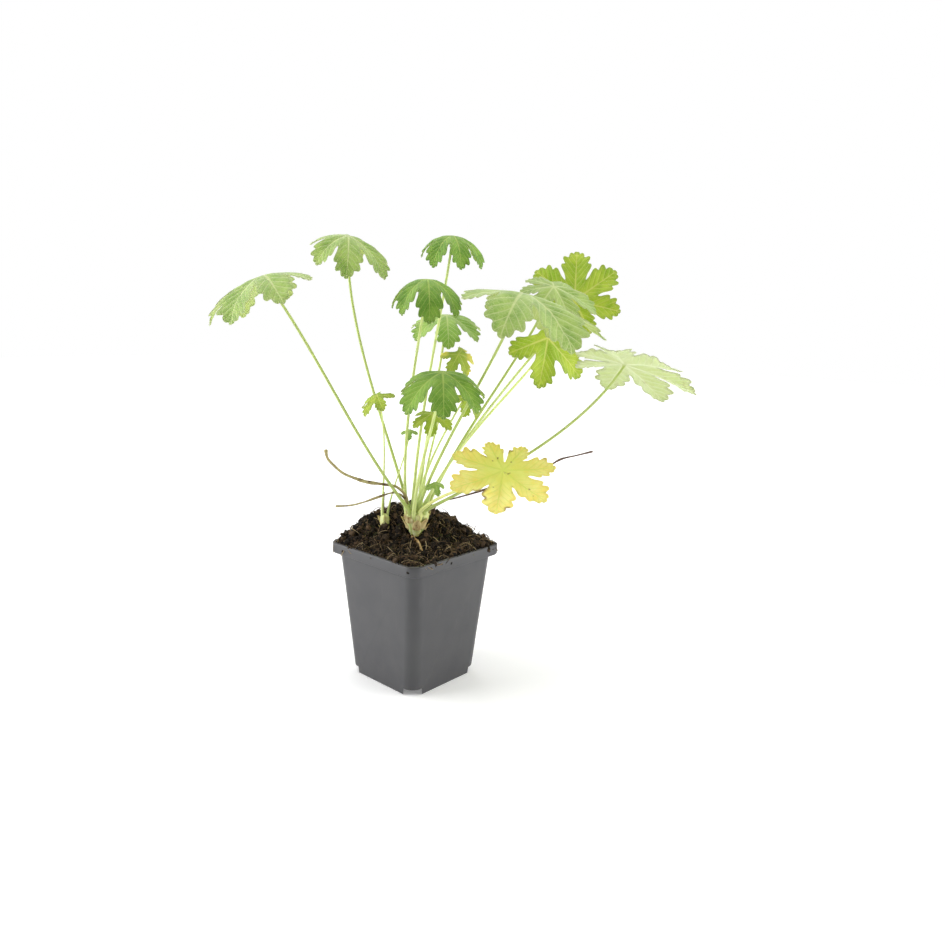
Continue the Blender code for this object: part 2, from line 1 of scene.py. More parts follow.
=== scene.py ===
"""Looks of a hardy geranium in its square nursery pot.

The pot stands on the origin with its sides along X and Y. The plant has a frame of its own, turned on
the pot by PLANT_TURN: side is to its right, back is away from its front, up is the height over the
table. Sizes are millimetres and degrees, and become metres when a mesh is made. A blade's side ribs start
RIB_PITCH of its radius apart and slant by RIB_SLANT, in its finish as in its quilted surface.
"""

import logging
import math
import random
from collections.abc import Iterable, Sequence
from dataclasses import dataclass
from enum import Enum
from typing import Any

import bpy
import numpy as np
from mathutils import Matrix, Vector, geometry, noise


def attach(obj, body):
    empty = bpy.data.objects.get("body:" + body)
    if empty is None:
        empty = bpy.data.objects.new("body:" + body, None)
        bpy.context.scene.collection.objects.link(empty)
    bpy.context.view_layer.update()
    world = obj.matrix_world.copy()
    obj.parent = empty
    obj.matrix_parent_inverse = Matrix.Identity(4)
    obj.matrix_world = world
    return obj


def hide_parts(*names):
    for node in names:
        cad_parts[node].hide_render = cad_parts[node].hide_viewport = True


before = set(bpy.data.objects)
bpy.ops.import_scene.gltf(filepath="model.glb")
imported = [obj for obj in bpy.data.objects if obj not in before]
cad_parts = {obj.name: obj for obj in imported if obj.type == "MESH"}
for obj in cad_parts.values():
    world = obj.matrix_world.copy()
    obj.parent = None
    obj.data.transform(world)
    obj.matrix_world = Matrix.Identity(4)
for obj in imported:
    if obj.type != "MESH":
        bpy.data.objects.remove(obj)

LOG = logging.getLogger("geranium")
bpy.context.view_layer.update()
BODY = "root"
MM = 0.001
PLANT_TURN = 41.5
GAP = 0.3
RIB_PITCH = 0.125
RIB_SLANT = 1.35

Colour = tuple[float, float, float]
Point = Sequence[float]
Socket = bpy.types.NodeSocket


def shade(screen: str) -> Colour:
    """A screen colour, six hex digits, as the linear colour that a shader takes."""
    return tuple((c / 255) ** 2.2 for c in bytes.fromhex(screen))


def in_plant(side: float, back: float, up: float = 0.0) -> Vector:
    """A place of the plant's frame in the pot's."""
    turn = math.radians(PLANT_TURN)
    x = side * math.cos(turn) - back * math.sin(turn)
    y = side * math.sin(turn) + back * math.cos(turn)
    return Vector((x, y, up))


def sides_of(way: Vector) -> tuple[float, float]:
    """How far a vector of the pot's frame goes to the plant's side and to its back."""
    turn = math.radians(-PLANT_TURN)
    return way.x * math.cos(turn) - way.y * math.sin(turn), way.x * math.sin(turn) + way.y * math.cos(turn)


def ray(angle: float, *up: float) -> Vector:
    """The direction of an angle in radians, in a plane or at a height over it."""
    return Vector((math.cos(angle), math.sin(angle), *up))


def linked(name: str, data: bpy.types.ID) -> bpy.types.Object:
    """A new object of this data in the scene."""
    obj = bpy.data.objects.new(name, data)
    bpy.context.scene.collection.objects.link(obj)
    return obj


def slanted(bearing: float, lean: float) -> Vector:
    """The direction that leans from straight up towards a bearing of the plant's frame."""
    bearing, lean = math.radians(bearing), math.radians(lean)
    flat = math.sin(lean)
    return in_plant(flat * math.cos(bearing), flat * math.sin(bearing), math.cos(lean))


class Shape:
    """Points in millimetres, their faces, their marks and their pattern coordinates."""

    def __init__(self) -> None:
        """Starts with nothing."""
        self.points: list[Vector] = []
        self.faces: list[tuple[int, ...]] = []
        self.marks: dict[str, dict[int, float]] = {}
        self.pattern: dict[int, list[tuple[float, float]]] = {}

    def add(self, points: Iterable[Point], **marks: float) -> list[int]:
        """Adds points that share their marks.

        Args:
            points: their places.
            marks: value of each named mark.

        Returns:
            The points' indices.
        """
        first = len(self.points)
        self.points += [Vector(p) for p in points]
        added = list(range(first, len(self.points)))
        for name, value in marks.items():
            self.marks.setdefault(name, {}).update(dict.fromkeys(added, value))
        return added

    def bridge(self, lower: Sequence[int], upper: Sequence[int]) -> None:
        """Joins two rings of equal count, both counterclockwise seen from the upper one's far side."""
        for i, a in enumerate(lower):
            b = lower[(i + 1) % len(lower)]
            c = upper[(i + 1) % len(upper)]
            d = upper[i]
            self.faces += [(a, b, c), (a, c, d)]

    def fan(self, ring: Sequence[int], middle: int) -> None:
        """Closes a ring with triangles to one point."""
        for i, a in enumerate(ring):
            self.faces.append((a, ring[(i + 1) % len(ring)], middle))

    def tube(self, rings: Sequence[Sequence[Point]], **marks: float) -> None:
        """Adds a closed tube through rings of equal count, with flat ends."""
        indices = [self.add(ring, **marks) for ring in rings]
        for lower, upper in zip(indices, indices[1:]):
            self.bridge(lower, upper)
        for ring, places in ((indices[0][::-1], rings[0]), (indices[-1], rings[-1])):
            centre = sum((Vector(p) for p in places), Vector()) / len(places)
            self.fan(ring, self.add([centre], **marks)[0])

    def tidy(self) -> None:
        """Drops the points that no face uses."""
        used = sorted({i for face in self.faces for i in face})
        index = {old: new for new, old in enumerate(used)}
        self.points = [self.points[i] for i in used]
        self.faces = [tuple(index[i] for i in face) for face in self.faces]
        for name, values in self.marks.items():
            self.marks[name] = {index[i]: v for i, v in values.items() if i in index}

    def piece(self, name: str, material: bpy.types.Material, sharp: float = 45.0) -> bpy.types.Object:
        """Makes the scene object.

        Args:
            name: the object's name.
            material: its finish.
            sharp: edges that turn more than this many degrees are drawn sharp.

        Returns:
            The object, at the origin.
        """
        data = bpy.data.meshes.new(name)
        data.from_pydata([p * MM for p in self.points], [], self.faces)
        for mark, values in self.marks.items():
            layer = data.attributes.new(mark, "FLOAT", "POINT")
            layer.data.foreach_set("value", [values.get(i, 0.0) for i in range(len(self.points))])
        if self.pattern:
            flat: list[float] = []
            for i, face in enumerate(self.faces):
                for u, v in self.pattern.get(i, [(0.0, 0.0)] * len(face)):
                    flat += (u, v)
            data.uv_layers.new(name="blade").data.foreach_set("uv", flat)
        data.materials.append(material)
        data.shade_smooth()
        data.set_sharp_from_angle(angle=math.radians(sharp))
        return linked(name, data)


def combine(obj: bpy.types.Object, other: bpy.types.Object, operation: str) -> None:
    """Applies one Boolean of two objects; the other object goes."""
    modifier = obj.modifiers.new(operation.title(), "BOOLEAN")
    modifier.operation = operation
    modifier.object = other
    bpy.context.view_layer.update()
    graph = bpy.context.evaluated_depsgraph_get()
    result = bpy.data.meshes.new_from_object(obj.evaluated_get(graph))
    obj.modifiers.remove(modifier)
    obj.data = result
    bpy.data.objects.remove(other)


def frames_along(points: Sequence[Vector], across: Vector) -> list[tuple[Vector, Vector]]:
    """For each point of a path, two directions across it that don't twist."""
    result = []
    for i in range(len(points)):
        along = (points[min(i + 1, len(points) - 1)] - points[max(i - 1, 0)]).normalized()
        across = (across - along * across.dot(along)).normalized()
        result.append((across, along.cross(across)))
    return result


def tube_rings(
    points: Sequence[Vector], radii: Sequence[float], sides: int, across: Vector
) -> list[list[Vector]]:
    """Rings round a path.

    Args:
        points: the path.
        radii: the radius at each point.
        sides: points in a ring.
        across: a direction across the path's start.

    Returns:
        One ring for each point.
    """
    turns = [math.tau * i / sides for i in range(sides)]
    return [
        [p + a * (radius * math.cos(t)) + b * (radius * math.sin(t)) for t in turns]
        for p, radius, (a, b) in zip(points, radii, frames_along(points, across))
    ]


def curve_points(start: Vector, handle: Vector, far_handle: Vector, end: Vector, steps: int) -> list[Vector]:
    """Points of a cubic curve, its start left out."""
    points = []
    for i in range(1, steps + 1):
        t = i / steps
        s = 1 - t
        points.append(start * s ** 3 + handle * (3 * s * s * t) + far_handle * (3 * s * t * t) + end * t ** 3)
    return points


def smooth_path(places: Sequence[Point], steps: int) -> list[Vector]:
    """A path through places of the plant's frame, rounded between them."""
    places = [in_plant(*p) for p in places]
    path = [places[0]]
    for i in range(len(places) - 1):
        before, after = places[max(i - 1, 0)], places[min(i + 2, len(places) - 1)]
        a, b = places[i], places[i + 1]
        path += curve_points(a, a + (b - before) / 6, b - (after - a) / 6, b, steps)
    return path


class Wiring:
    """Short words for wiring one tree of nodes."""

    def __init__(self, tree: bpy.types.NodeTree) -> None:
        """Takes the tree.

        Args:
            tree: the tree that the nodes go into.
        """
        self.tree = tree

    def node(self, kind: str, inputs: dict[int | str, Any] | None = None, **settings: Any) -> bpy.types.Node:
        """A new node.

        Args:
            kind: its type.
            inputs: a value or a socket for each input, by name or number.
            settings: its other settings, which come before the inputs.

        Returns:
            The node.
        """
        made = self.tree.nodes.new(kind)
        for name, value in settings.items():
            setattr(made, name, value)
        for key, value in (inputs or {}).items():
            self.put(made.inputs[key], value)
        return made

    def put(self, socket: Socket, value: Any) -> None:
        """Links a socket to another, or sets it."""
        if isinstance(value, Socket):
            self.tree.links.new(value, socket)
        elif isinstance(value, tuple) and len(value) == 3 and socket.type == "RGBA":
            socket.default_value = (*value, 1.0)
        else:
            socket.default_value = value

    def sum(self, operation: str, a: Any, b: Any = 0.0) -> Socket:
        """One step of arithmetic."""
        return self.node("ShaderNodeMath", {0: a, 1: b}, operation=operation).outputs[0]

    def times(self, a: Any, b: Any) -> Socket:
        """One value times another."""
        return self.sum("MULTIPLY", a, b)


class Paint(Wiring):
    """Short words for the nodes of one material."""

    def __init__(self, name: str) -> None:
        """Makes the material with its plain shader.

        Args:
            name: the material's name.
        """
        self.material = bpy.data.materials.new(name)
        self.material.use_nodes = True
        super().__init__(self.material.node_tree)
        self.shader = self.tree.nodes["Principled BSDF"]
        self.place = self.node("ShaderNodeTexCoord").outputs["Object"]

    def set(self, **values: Any) -> None:
        """Sets the shader's sockets, named with _ for a space."""
        for name, value in values.items():
            self.put(self.shader.inputs[name.replace("_", " ")], value)

    def fade(self, value: Any, low: Any, high: Any, start: float = 0.0, end: float = 1.0) -> Socket:
        """A smooth change from start at low to end at high."""
        inputs = {"Value": value, "From Min": low, "From Max": high, "To Min": start, "To Max": end}
        return self.node("ShaderNodeMapRange", inputs, interpolation_type="SMOOTHSTEP").outputs[0]

    def mix(self, share: Any, a: Any, b: Any) -> Socket:
        """A mix of two colours."""
        return self.node("ShaderNodeMix", {0: share, 6: a, 7: b}, data_type="RGBA").outputs[2]

    def noise(self, size: float, detail: float = 2.0, stretch: Point = (1, 1, 1)) -> Socket:
        """Cloudy noise.

        Args:
            size: millimetres from one cloud to the next.
            detail: octaves.
            stretch: how often it repeats along X, Y and Z.

        Returns:
            The socket of its height.
        """
        place = self.node("ShaderNodeMapping", {"Vector": self.place, "Scale": stretch}).outputs[0]
        inputs = {"Vector": place, "Scale": 1 / MM / size, "Detail": detail}
        return self.node("ShaderNodeTexNoise", inputs).outputs[0]

    def parts(self, vector: Socket) -> Sequence[Socket]:
        """The X, Y and Z of a vector."""
        return self.node("ShaderNodeSeparateXYZ", {0: vector}).outputs

    def mark(self, name: str) -> Socket:
        """A mark of the piece's points."""
        return self.node("ShaderNodeAttribute", attribute_name=name).outputs["Fac"]

    def bump(self, height: Any, depth: float, strength: float = 1.0) -> None:
        """Relief of this height, depth in millimetres."""
        inputs = {"Height": height, "Distance": depth * MM, "Strength": strength}
        self.set(Normal=self.node("ShaderNodeBump", inputs).outputs[0])


class Finish:
    """A finish that is wired once and shared by its pieces."""

    name: str

    def material(self) -> bpy.types.Material:
        """The finish, made on first use."""
        return bpy.data.materials.get(self.name) or self._made()

    def _made(self) -> bpy.types.Material:
        """Wires the finish."""
        raise NotImplementedError


@dataclass(frozen=True)
class LeafFinish(Finish):
    """Downy green blade with its veins, and the stalk under it.

    The pattern follows the blade's map, along and across each lobe as shares of the blade's radius.
    """

    name: str
    top: str
    deep: str
    under: str
    vein: str
    stalk: str
    edge: str
    sheen: float = 0.25
    spots: float = 0.0
    patch: float = 0.0
    heart: float = 0.0
    glow: float = 0.15

    PATCH = "eee06e"
    SPOT = "784e28"
    RIB_WIDTH = (0.026, 0.008)
    RIB_CORE = 0.35
    SIDE_LINE = (0.40, 0.47)
    SIDE_STRENGTH = 0.75
    SIDE_ENDS = (0.17, 0.27)
    SIDE_START = (0.16, 0.34)
    NET_CELLS = 21.0
    NET_LINE = (0.01, 0.11)
    BLOT = (0.665, 0.72)
    RIM = (0.02, 0.16)
    RIM_BROWN = (0.54, 0.66)
    GROOVE = (-0.7, 0.9)

    def _veins(self, paint: Paint, where: Socket) -> tuple[Socket, Socket]:
        """Strength of the ribs and of the fine net between them."""
        along, signed, _ = paint.parts(where)
        across = paint.sum("ABSOLUTE", signed)
        width = paint.fade(along, 0.0, 1.0, *self.RIB_WIDTH)
        main = paint.fade(across, paint.times(width, self.RIB_CORE), width, 1.0, 0.0)
        turn = paint.sum("DIVIDE", paint.sum("SUBTRACT", along, paint.times(across, RIB_SLANT)), RIB_PITCH)
        from_rib = paint.sum("ABSOLUTE", paint.sum("SUBTRACT", paint.sum("FRACT", turn), 0.5))
        side = paint.fade(from_rib, *self.SIDE_LINE, 0.0, self.SIDE_STRENGTH)
        side = paint.times(side, paint.fade(across, *self.SIDE_ENDS, 1.0, 0.0))
        side = paint.times(side, paint.fade(along, *self.SIDE_START))
        cells = paint.node(
            "ShaderNodeTexVoronoi", {"Vector": where, "Scale": self.NET_CELLS},
            feature="DISTANCE_TO_EDGE", voronoi_dimensions="2D")
        net = paint.fade(cells.outputs["Distance"], *self.NET_LINE, 1.0, 0.0)
        return paint.sum("MAXIMUM", main, side), net

    def _made(self) -> bpy.types.Material:
        """Wires the finish."""
        paint = Paint(self.name)
        where = paint.node("ShaderNodeUVMap", uv_map="blade").outputs[0]
        ribs, net = self._veins(paint, where)
        under, stalk, edge = paint.mark("under"), paint.mark("stalk"), paint.mark("edge")
        below, vein = shade(self.under), shade(self.vein)
        clouds = paint.fade(paint.noise(11.0, 3.0), 0.35, 0.68)
        colour = paint.mix(clouds, shade(self.top), shade(self.deep))
        colour = paint.mix(paint.times(under, 0.75), colour, below)
        colour = paint.mix(paint.fade(edge, 0.0, 0.22, 0.55, 0.0), colour, shade(self.edge))
        colour = paint.mix(paint.times(net, 0.22), colour, vein)
        colour = paint.mix(paint.times(ribs, 0.62), colour, vein)
        if self.patch:
            yellow = paint.fade(paint.noise(26.0, 2.0), 0.47, 0.56, 0.0, self.patch)
            colour = paint.mix(yellow, colour, shade(self.PATCH))
        if self.heart:
            colour = paint.mix(paint.fade(paint.parts(where)[0], 0.1, 0.75, self.heart, 0.0), colour, vein)
        if self.spots:
            blots = paint.fade(paint.noise(7.0, 4.0), *self.BLOT, 0.0, self.spots)
            brown = paint.fade(paint.noise(14.0, 2.0), *self.RIM_BROWN)
            rim = paint.times(paint.fade(edge, *self.RIM, 1.0, 0.0), brown)
            spotted = paint.sum("MAXIMUM", blots, paint.times(rim, self.spots))
            colour = paint.mix(spotted, colour, shade(self.SPOT))
        streaks = paint.fade(paint.noise(9.0, 2.0), 0.35, 0.7)
        stem = paint.mix(paint.times(streaks, 0.4), shade(self.stalk), below)
        relief = paint.sum("SUBTRACT", paint.times(paint.noise(1.3, 3.0), 0.35), paint.times(net, 0.18))
        groove = paint.times(ribs, paint.fade(under, 0.0, 1.0, *self.GROOVE))
        paint.bump(paint.sum("ADD", relief, groove), 0.32, 0.75)
        paint.set(
            Base_Color=paint.mix(stalk, colour, stem), Roughness=0.62, Specular_IOR_Level=0.28,
            Sheen_Weight=self.sheen, Sheen_Roughness=0.45, Sheen_Tint=(0.86, 0.93, 0.78, 1.0),
            Subsurface_Weight=self.glow, Subsurface_Radius=(0.9, 1.3, 0.35), Subsurface_Scale=MM)
        return paint.material


class LeafTone(Enum):
    """The finishes that a leaf may have."""

    FRESH = LeafFinish("leaf_fresh", "92b252", "769e3c", "b8c474", "c8d18a", "d4e098", "708e40", 0.3)
    DEEP = LeafFinish("leaf_deep", "789c3a", "5a8428", "96ac42", "a8ba5c", "d2de94", "5c7a30", 0.16)
    # Painted backlight: a brighter, yellower copy of the leaf green that stands in for light shining through
    # leaves lit from behind.
    PAINTED_BACKLIGHT = LeafFinish("leaf_painted_backlight", "a4b836", "86a424", "b8c454", "cecc70", "d4e098", "809432", 0.12)
    # Painted sheen: a greyer, paler copy of the leaf green that stands in for the grazing sheen on the leaf
    # tops. Its sheen weight is real shader sheen.
    PAINTED_SHEEN = LeafFinish("leaf_painted_sheen", "98b058", "7a9840", "b0bc6c", "c6cd8e", "b0c070", "8e9c60", 0.4)
    PALE = LeafFinish("leaf_pale", "b4c581", "9eb662", "bec88a", "ccd3a4", "acbc6c", "919570", 0.45, 0.2)
    YELLOW = LeafFinish(
        "leaf_yellowed", "fff496", "fce678", "f8ec9e", "dee668",
        "d4dc8c", "ecce6e", 0.12, 0.8, heart=0.7)
    TURNING = LeafFinish(
        "leaf_turning", "aec04e", "8aa838", "bec862", "d4d276",
        "d4e098", "8e9c44", 0.15, 0.0, 0.9)


@dataclass(frozen=True)
class PlainFinish(Finish):
    """A grained surface of three colours."""

    name: str
    main: str
    dark: str
    light: str
    grain: float
    roughness: float = 0.8
    stretch: tuple[float, float, float] = (1.0, 1.0, 1.0)
    relief: float = 0.2
    tone: float = 0.0
    glow: float = 0.0

    def _made(self) -> bpy.types.Material:
        """Wires the finish."""
        paint = Paint(self.name)
        dark, light = shade(self.dark), shade(self.light)
        clouds = paint.noise(self.grain, 4.0, self.stretch)
        colour = paint.mix(paint.fade(clouds, 0.30, 0.50, 1.0, 0.0), shade(self.main), dark)
        colour = paint.mix(paint.fade(clouds, 0.54, 0.74), colour, light)
        if self.tone:
            tone = paint.mark("tone")
            colour = paint.mix(paint.times(paint.fade(tone, 0.55, 1.0), self.tone), colour, light)
            colour = paint.mix(paint.times(paint.fade(tone, 0.45, 0.0), self.tone), colour, dark)
        paint.bump(paint.noise(self.grain * 0.45, 4.0, self.stretch), self.relief)
        paint.set(Base_Color=colour, Roughness=self.roughness, Specular_IOR_Level=0.3)
        if self.glow:
            paint.set(Subsurface_Weight=self.glow, Subsurface_Radius=(1.0, 1.3, 0.4), Subsurface_Scale=MM)
        return paint.material


class PlainTone(Enum):
    """The grained finishes."""

    SOIL = PlainFinish("soil_dark", "18140f", "0a0807", "2e241b", 2.2, 0.95, relief=0.5)
    CLOD = PlainFinish("soil_crumb", "261f17", "0e0c09", "5c4a38", 1.4, 0.95, relief=0.3, tone=0.8)
    FIBRE = PlainFinish("soil_fibre", "604c36", "281e17", "a89674", 1.8, 0.85, relief=0.08, tone=0.85)
    MOSS = PlainFinish("moss_green", "464e28", "283019", "767c42", 2.5, 0.8, relief=0.08, tone=0.6)
    CROWN = PlainFinish("crown_sheathed", "d0d692", "b0a86c", "e8eaba", 2.6, 0.6, (1, 1, 0.16), 0.2, 0.0, 0.3)
    ROOT = PlainFinish("root_tan", "ba9a68", "7e5c3a", "d6be8e", 2.2, 0.75, (1, 1, 0.3), 0.25)
    PAPERY = PlainFinish("sheath_papery", "c4b27c", "8e6c46", "ded8a6", 2.0, 0.7, (1, 1, 0.2), 0.15)
    DRIED = PlainFinish("stalk_dried", "a89c6c", "5c4634", "c4be82", 4.0, 0.7, relief=0.12)
    BROWN = PlainFinish("stalk_brown", "685246", "3a2a26", "887462", 3.0, 0.75, relief=0.12)
    DOWN = PlainFinish("down_pale", "d6e0b8", "becc96", "e8eed6", 3.0, 0.5, relief=0.0)


@dataclass(frozen=True)
class PotFinish(Finish):
    """Matte moulded plastic with a faint grain, rubbed streaks and a film of dust."""

    name: str = "pot_grey"
    grey: Colour = (0.057, 0.057, 0.061)
    dust: Colour = (0.105, 0.105, 0.105)
    soil: Colour = (0.035, 0.024, 0.018)

    RIM_TOP = (0.0985, 0.1)
    FOOT = (0.0, 0.012)

    def _made(self) -> bpy.types.Material:
        """Wires the finish."""
        paint = Paint(self.name)
        up = paint.parts(paint.place)[2]
        film = paint.fade(paint.noise(34.0, 4.0, (1, 1, 0.45)), 0.42, 0.75, 0.0, 0.16)
        colour = paint.mix(film, self.grey, self.dust)
        rubbed = paint.fade(paint.noise(5.0, 5.0, (1, 1, 0.15)), 0.58, 0.72, 0.0, 0.10)
        colour = paint.mix(rubbed, colour, self.dust)
        near_rim = paint.fade(up, *self.RIM_TOP, 0.0, 0.5)
        crumbs = paint.times(paint.fade(paint.noise(3.2, 4.0), 0.52, 0.6), near_rim)
        colour = paint.mix(crumbs, colour, self.soil)
        stains = paint.fade(paint.noise(8.0, 5.0), 0.66, 0.72, 0.0, 0.5)
        colour = paint.mix(paint.times(stains, paint.fade(up, *self.FOOT, 1.0, 0.0)), colour, self.soil)
        gloss = paint.fade(paint.noise(16.0, 3.0), 0.3, 0.7, 0.40, 0.52)
        paint.set(Base_Color=colour, Roughness=gloss, Specular_IOR_Level=0.45)
        paint.bump(paint.noise(0.7, 3.0), 0.05, 0.5)
        return paint.material


class Grain(Enum):
    """The small shapes that are strewn over a piece."""

    HAIR = "hair"
    CLOD = "clod"
    CRUMB = "crumb"
    FIBRE = "fibre"


@dataclass(frozen=True)
class Scatter:
    """Small shapes strewn over the marked faces of a piece by Geometry Nodes."""

    name: str
    grain: Grain
    mark: str
    per_mm2: float
    smallest: float
    largest: float
    tilt: float
    seed: int

    HAIR_RADIUS = 0.045
    FIBRE_RADIUS = 0.022
    BOW = {
        "Resolution": 7, "Start": (-0.5, 0.0, -0.1), "Middle": (0.1, 0.35, 0.35), "End": (0.5, -0.1, -0.05),
    }
    LUMPS = {"Scale": 2.4, "Detail": 3.0}

    def _grain(self, net: Wiring) -> Socket:
        """The nodes of one grain, about one unit long, and the socket of its geometry."""
        if self.grain is Grain.HAIR:
            inputs = {"Vertices": 3, "Radius Bottom": self.HAIR_RADIUS, "Depth": 1.0}
            return net.node("GeometryNodeMeshCone", inputs).outputs["Mesh"]
        if self.grain is Grain.FIBRE:
            bow = net.node("GeometryNodeCurveQuadraticBezier", self.BOW)
            inputs = {"Resolution": 3, "Radius": self.FIBRE_RADIUS}
            ring = net.node("GeometryNodeCurvePrimitiveCircle", inputs)
            inputs = {"Curve": bow.outputs[0], "Profile Curve": ring.outputs[0], "Fill Caps": True}
            return net.node("GeometryNodeCurveToMesh", inputs).outputs[0]
        level = 2 if self.grain is Grain.CLOD else 1
        ball = net.node("GeometryNodeMeshIcoSphere", {"Radius": 0.5, "Subdivisions": level})
        height = net.sum("SUBTRACT", net.node("ShaderNodeTexNoise", self.LUMPS).outputs[0], 0.5)
        normal = net.node("GeometryNodeInputNormal").outputs[0]
        push = net.node("ShaderNodeVectorMath", {0: normal, "Scale": height}, operation="SCALE")
        inputs = {"Geometry": ball.outputs["Mesh"], "Offset": push.outputs[0]}
        return net.node("GeometryNodeSetPosition", inputs).outputs[0]

    def _tree(self) -> bpy.types.NodeTree:
        """The tree, with named inputs for its sizes."""
        tree = bpy.data.node_groups.new(self.name, "GeometryNodeTree")
        sockets = (
            ("Geometry", "Geometry"), ("Density", "Float"), ("Smallest", "Float"), ("Largest", "Float"),
            ("Tilt", "Float"), ("Seed", "Int"), ("Finish", "Material"))
        for label, kind in sockets:
            tree.interface.new_socket(label, in_out="INPUT", socket_type=f"NodeSocket{kind}")
        tree.interface.new_socket("Geometry", in_out="OUTPUT", socket_type="NodeSocketGeometry")
        net = Wiring(tree)
        given = net.node("NodeGroupInput").outputs
        mark = net.node("GeometryNodeInputNamedAttribute", {"Name": self.mark}, data_type="FLOAT")
        density = net.times(mark.outputs["Attribute"], given["Density"])
        inputs = {"Mesh": given["Geometry"], "Density": density, "Seed": given["Seed"]}
        spread = net.node("GeometryNodeDistributePointsOnFaces", inputs)
        inputs = {2: given["Smallest"], 3: given["Largest"], "Seed": given["Seed"]}
        size = net.node("FunctionNodeRandomValue", inputs, data_type="FLOAT")
        turn = net.node("ShaderNodeCombineXYZ", {0: given["Tilt"], 1: given["Tilt"], 2: math.pi}).outputs[0]
        back = net.node("ShaderNodeVectorMath", {0: turn, "Scale": -1.0}, operation="SCALE").outputs[0]
        lean = net.node("FunctionNodeRandomValue", {0: back, 1: turn}, data_type="FLOAT_VECTOR")
        inputs = {0: spread.outputs["Rotation"], 1: lean.outputs[0]}
        rotate = net.node("FunctionNodeRotateRotation", inputs, rotation_space="LOCAL")
        place = net.node("GeometryNodeInstanceOnPoints", {
            "Points": spread.outputs["Points"], "Instance": self._grain(net), "Rotation": rotate.outputs[0],
            "Scale": size.outputs[1]})
        tone = net.node("FunctionNodeRandomValue", data_type="FLOAT")
        inputs = {"Geometry": place.outputs[0], "Name": "tone", "Value": tone.outputs[1]}
        keep = net.node("GeometryNodeStoreNamedAttribute", inputs, data_type="FLOAT", domain="INSTANCE")
        real = net.node("GeometryNodeRealizeInstances", {0: keep.outputs[0]})
        inputs = {"Geometry": real.outputs[0], "Material": given["Finish"]}
        finish = net.node("GeometryNodeSetMaterial", inputs)
        net.node("NodeGroupOutput", {0: finish.outputs[0]})
        return tree

    def over(self, obj: bpy.types.Object, material: bpy.types.Material) -> bpy.types.Mesh:
        """Strews the grains.

        Args:
            obj: the piece that carries them, which stays as it is.
            material: the grains' finish.

        Returns:
            A plain mesh of the grains alone.
        """
        tree = bpy.data.node_groups.get(self.name) or self._tree()
        values = {
            "Density": self.per_mm2 / MM ** 2, "Smallest": self.smallest * MM, "Largest": self.largest * MM,
            "Tilt": math.radians(self.tilt), "Seed": self.seed, "Finish": material,
        }
        modifier = obj.modifiers.new(self.name, "NODES")
        modifier.node_group = tree
        for item in tree.interface.items_tree:
            if item.in_out == "INPUT" and item.name in values:
                modifier[item.identifier] = values[item.name]
        graph = bpy.context.evaluated_depsgraph_get()
        mesh = bpy.data.meshes.new_from_object(obj.evaluated_get(graph))
        obj.modifiers.remove(modifier)
        return mesh


def joined(name: str, meshes: Sequence[bpy.types.Mesh], material: bpy.types.Material) -> bpy.types.Object:
    """One object of several meshes that share their finish.

    Args:
        name: the object's name.
        meshes: the meshes, in place.
        material: their finish.

    Returns:
        The object, at the origin.
    """
    points, faces, tones = [], [], []
    for mesh in meshes:
        first = len(points)
        points += [v.co.copy() for v in mesh.vertices]
        faces += [tuple(first + i for i in face.vertices) for face in mesh.polygons]
        layer = mesh.attributes.get("tone")
        tones += [item.value for item in layer.data] if layer else [0.5] * len(mesh.vertices)
    data = bpy.data.meshes.new(name)
    data.from_pydata(points, [], faces)
    data.attributes.new("tone", "FLOAT", "POINT").data.foreach_set("value", tones)
    data.materials.append(material)
    return linked(name, data)


def settle(obj: bpy.types.Object, slot: str, *nodes: str) -> None:
    """Ties a finished piece to the part.

    Args:
        obj: the piece.
        slot: the slot name of its finish; not used.
        nodes: the nodes that it stands for.
    """
    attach(obj, BODY)
    if nodes:
        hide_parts(*nodes)
    LOG.info("%s: %d faces", obj.name, len(obj.data.polygons))


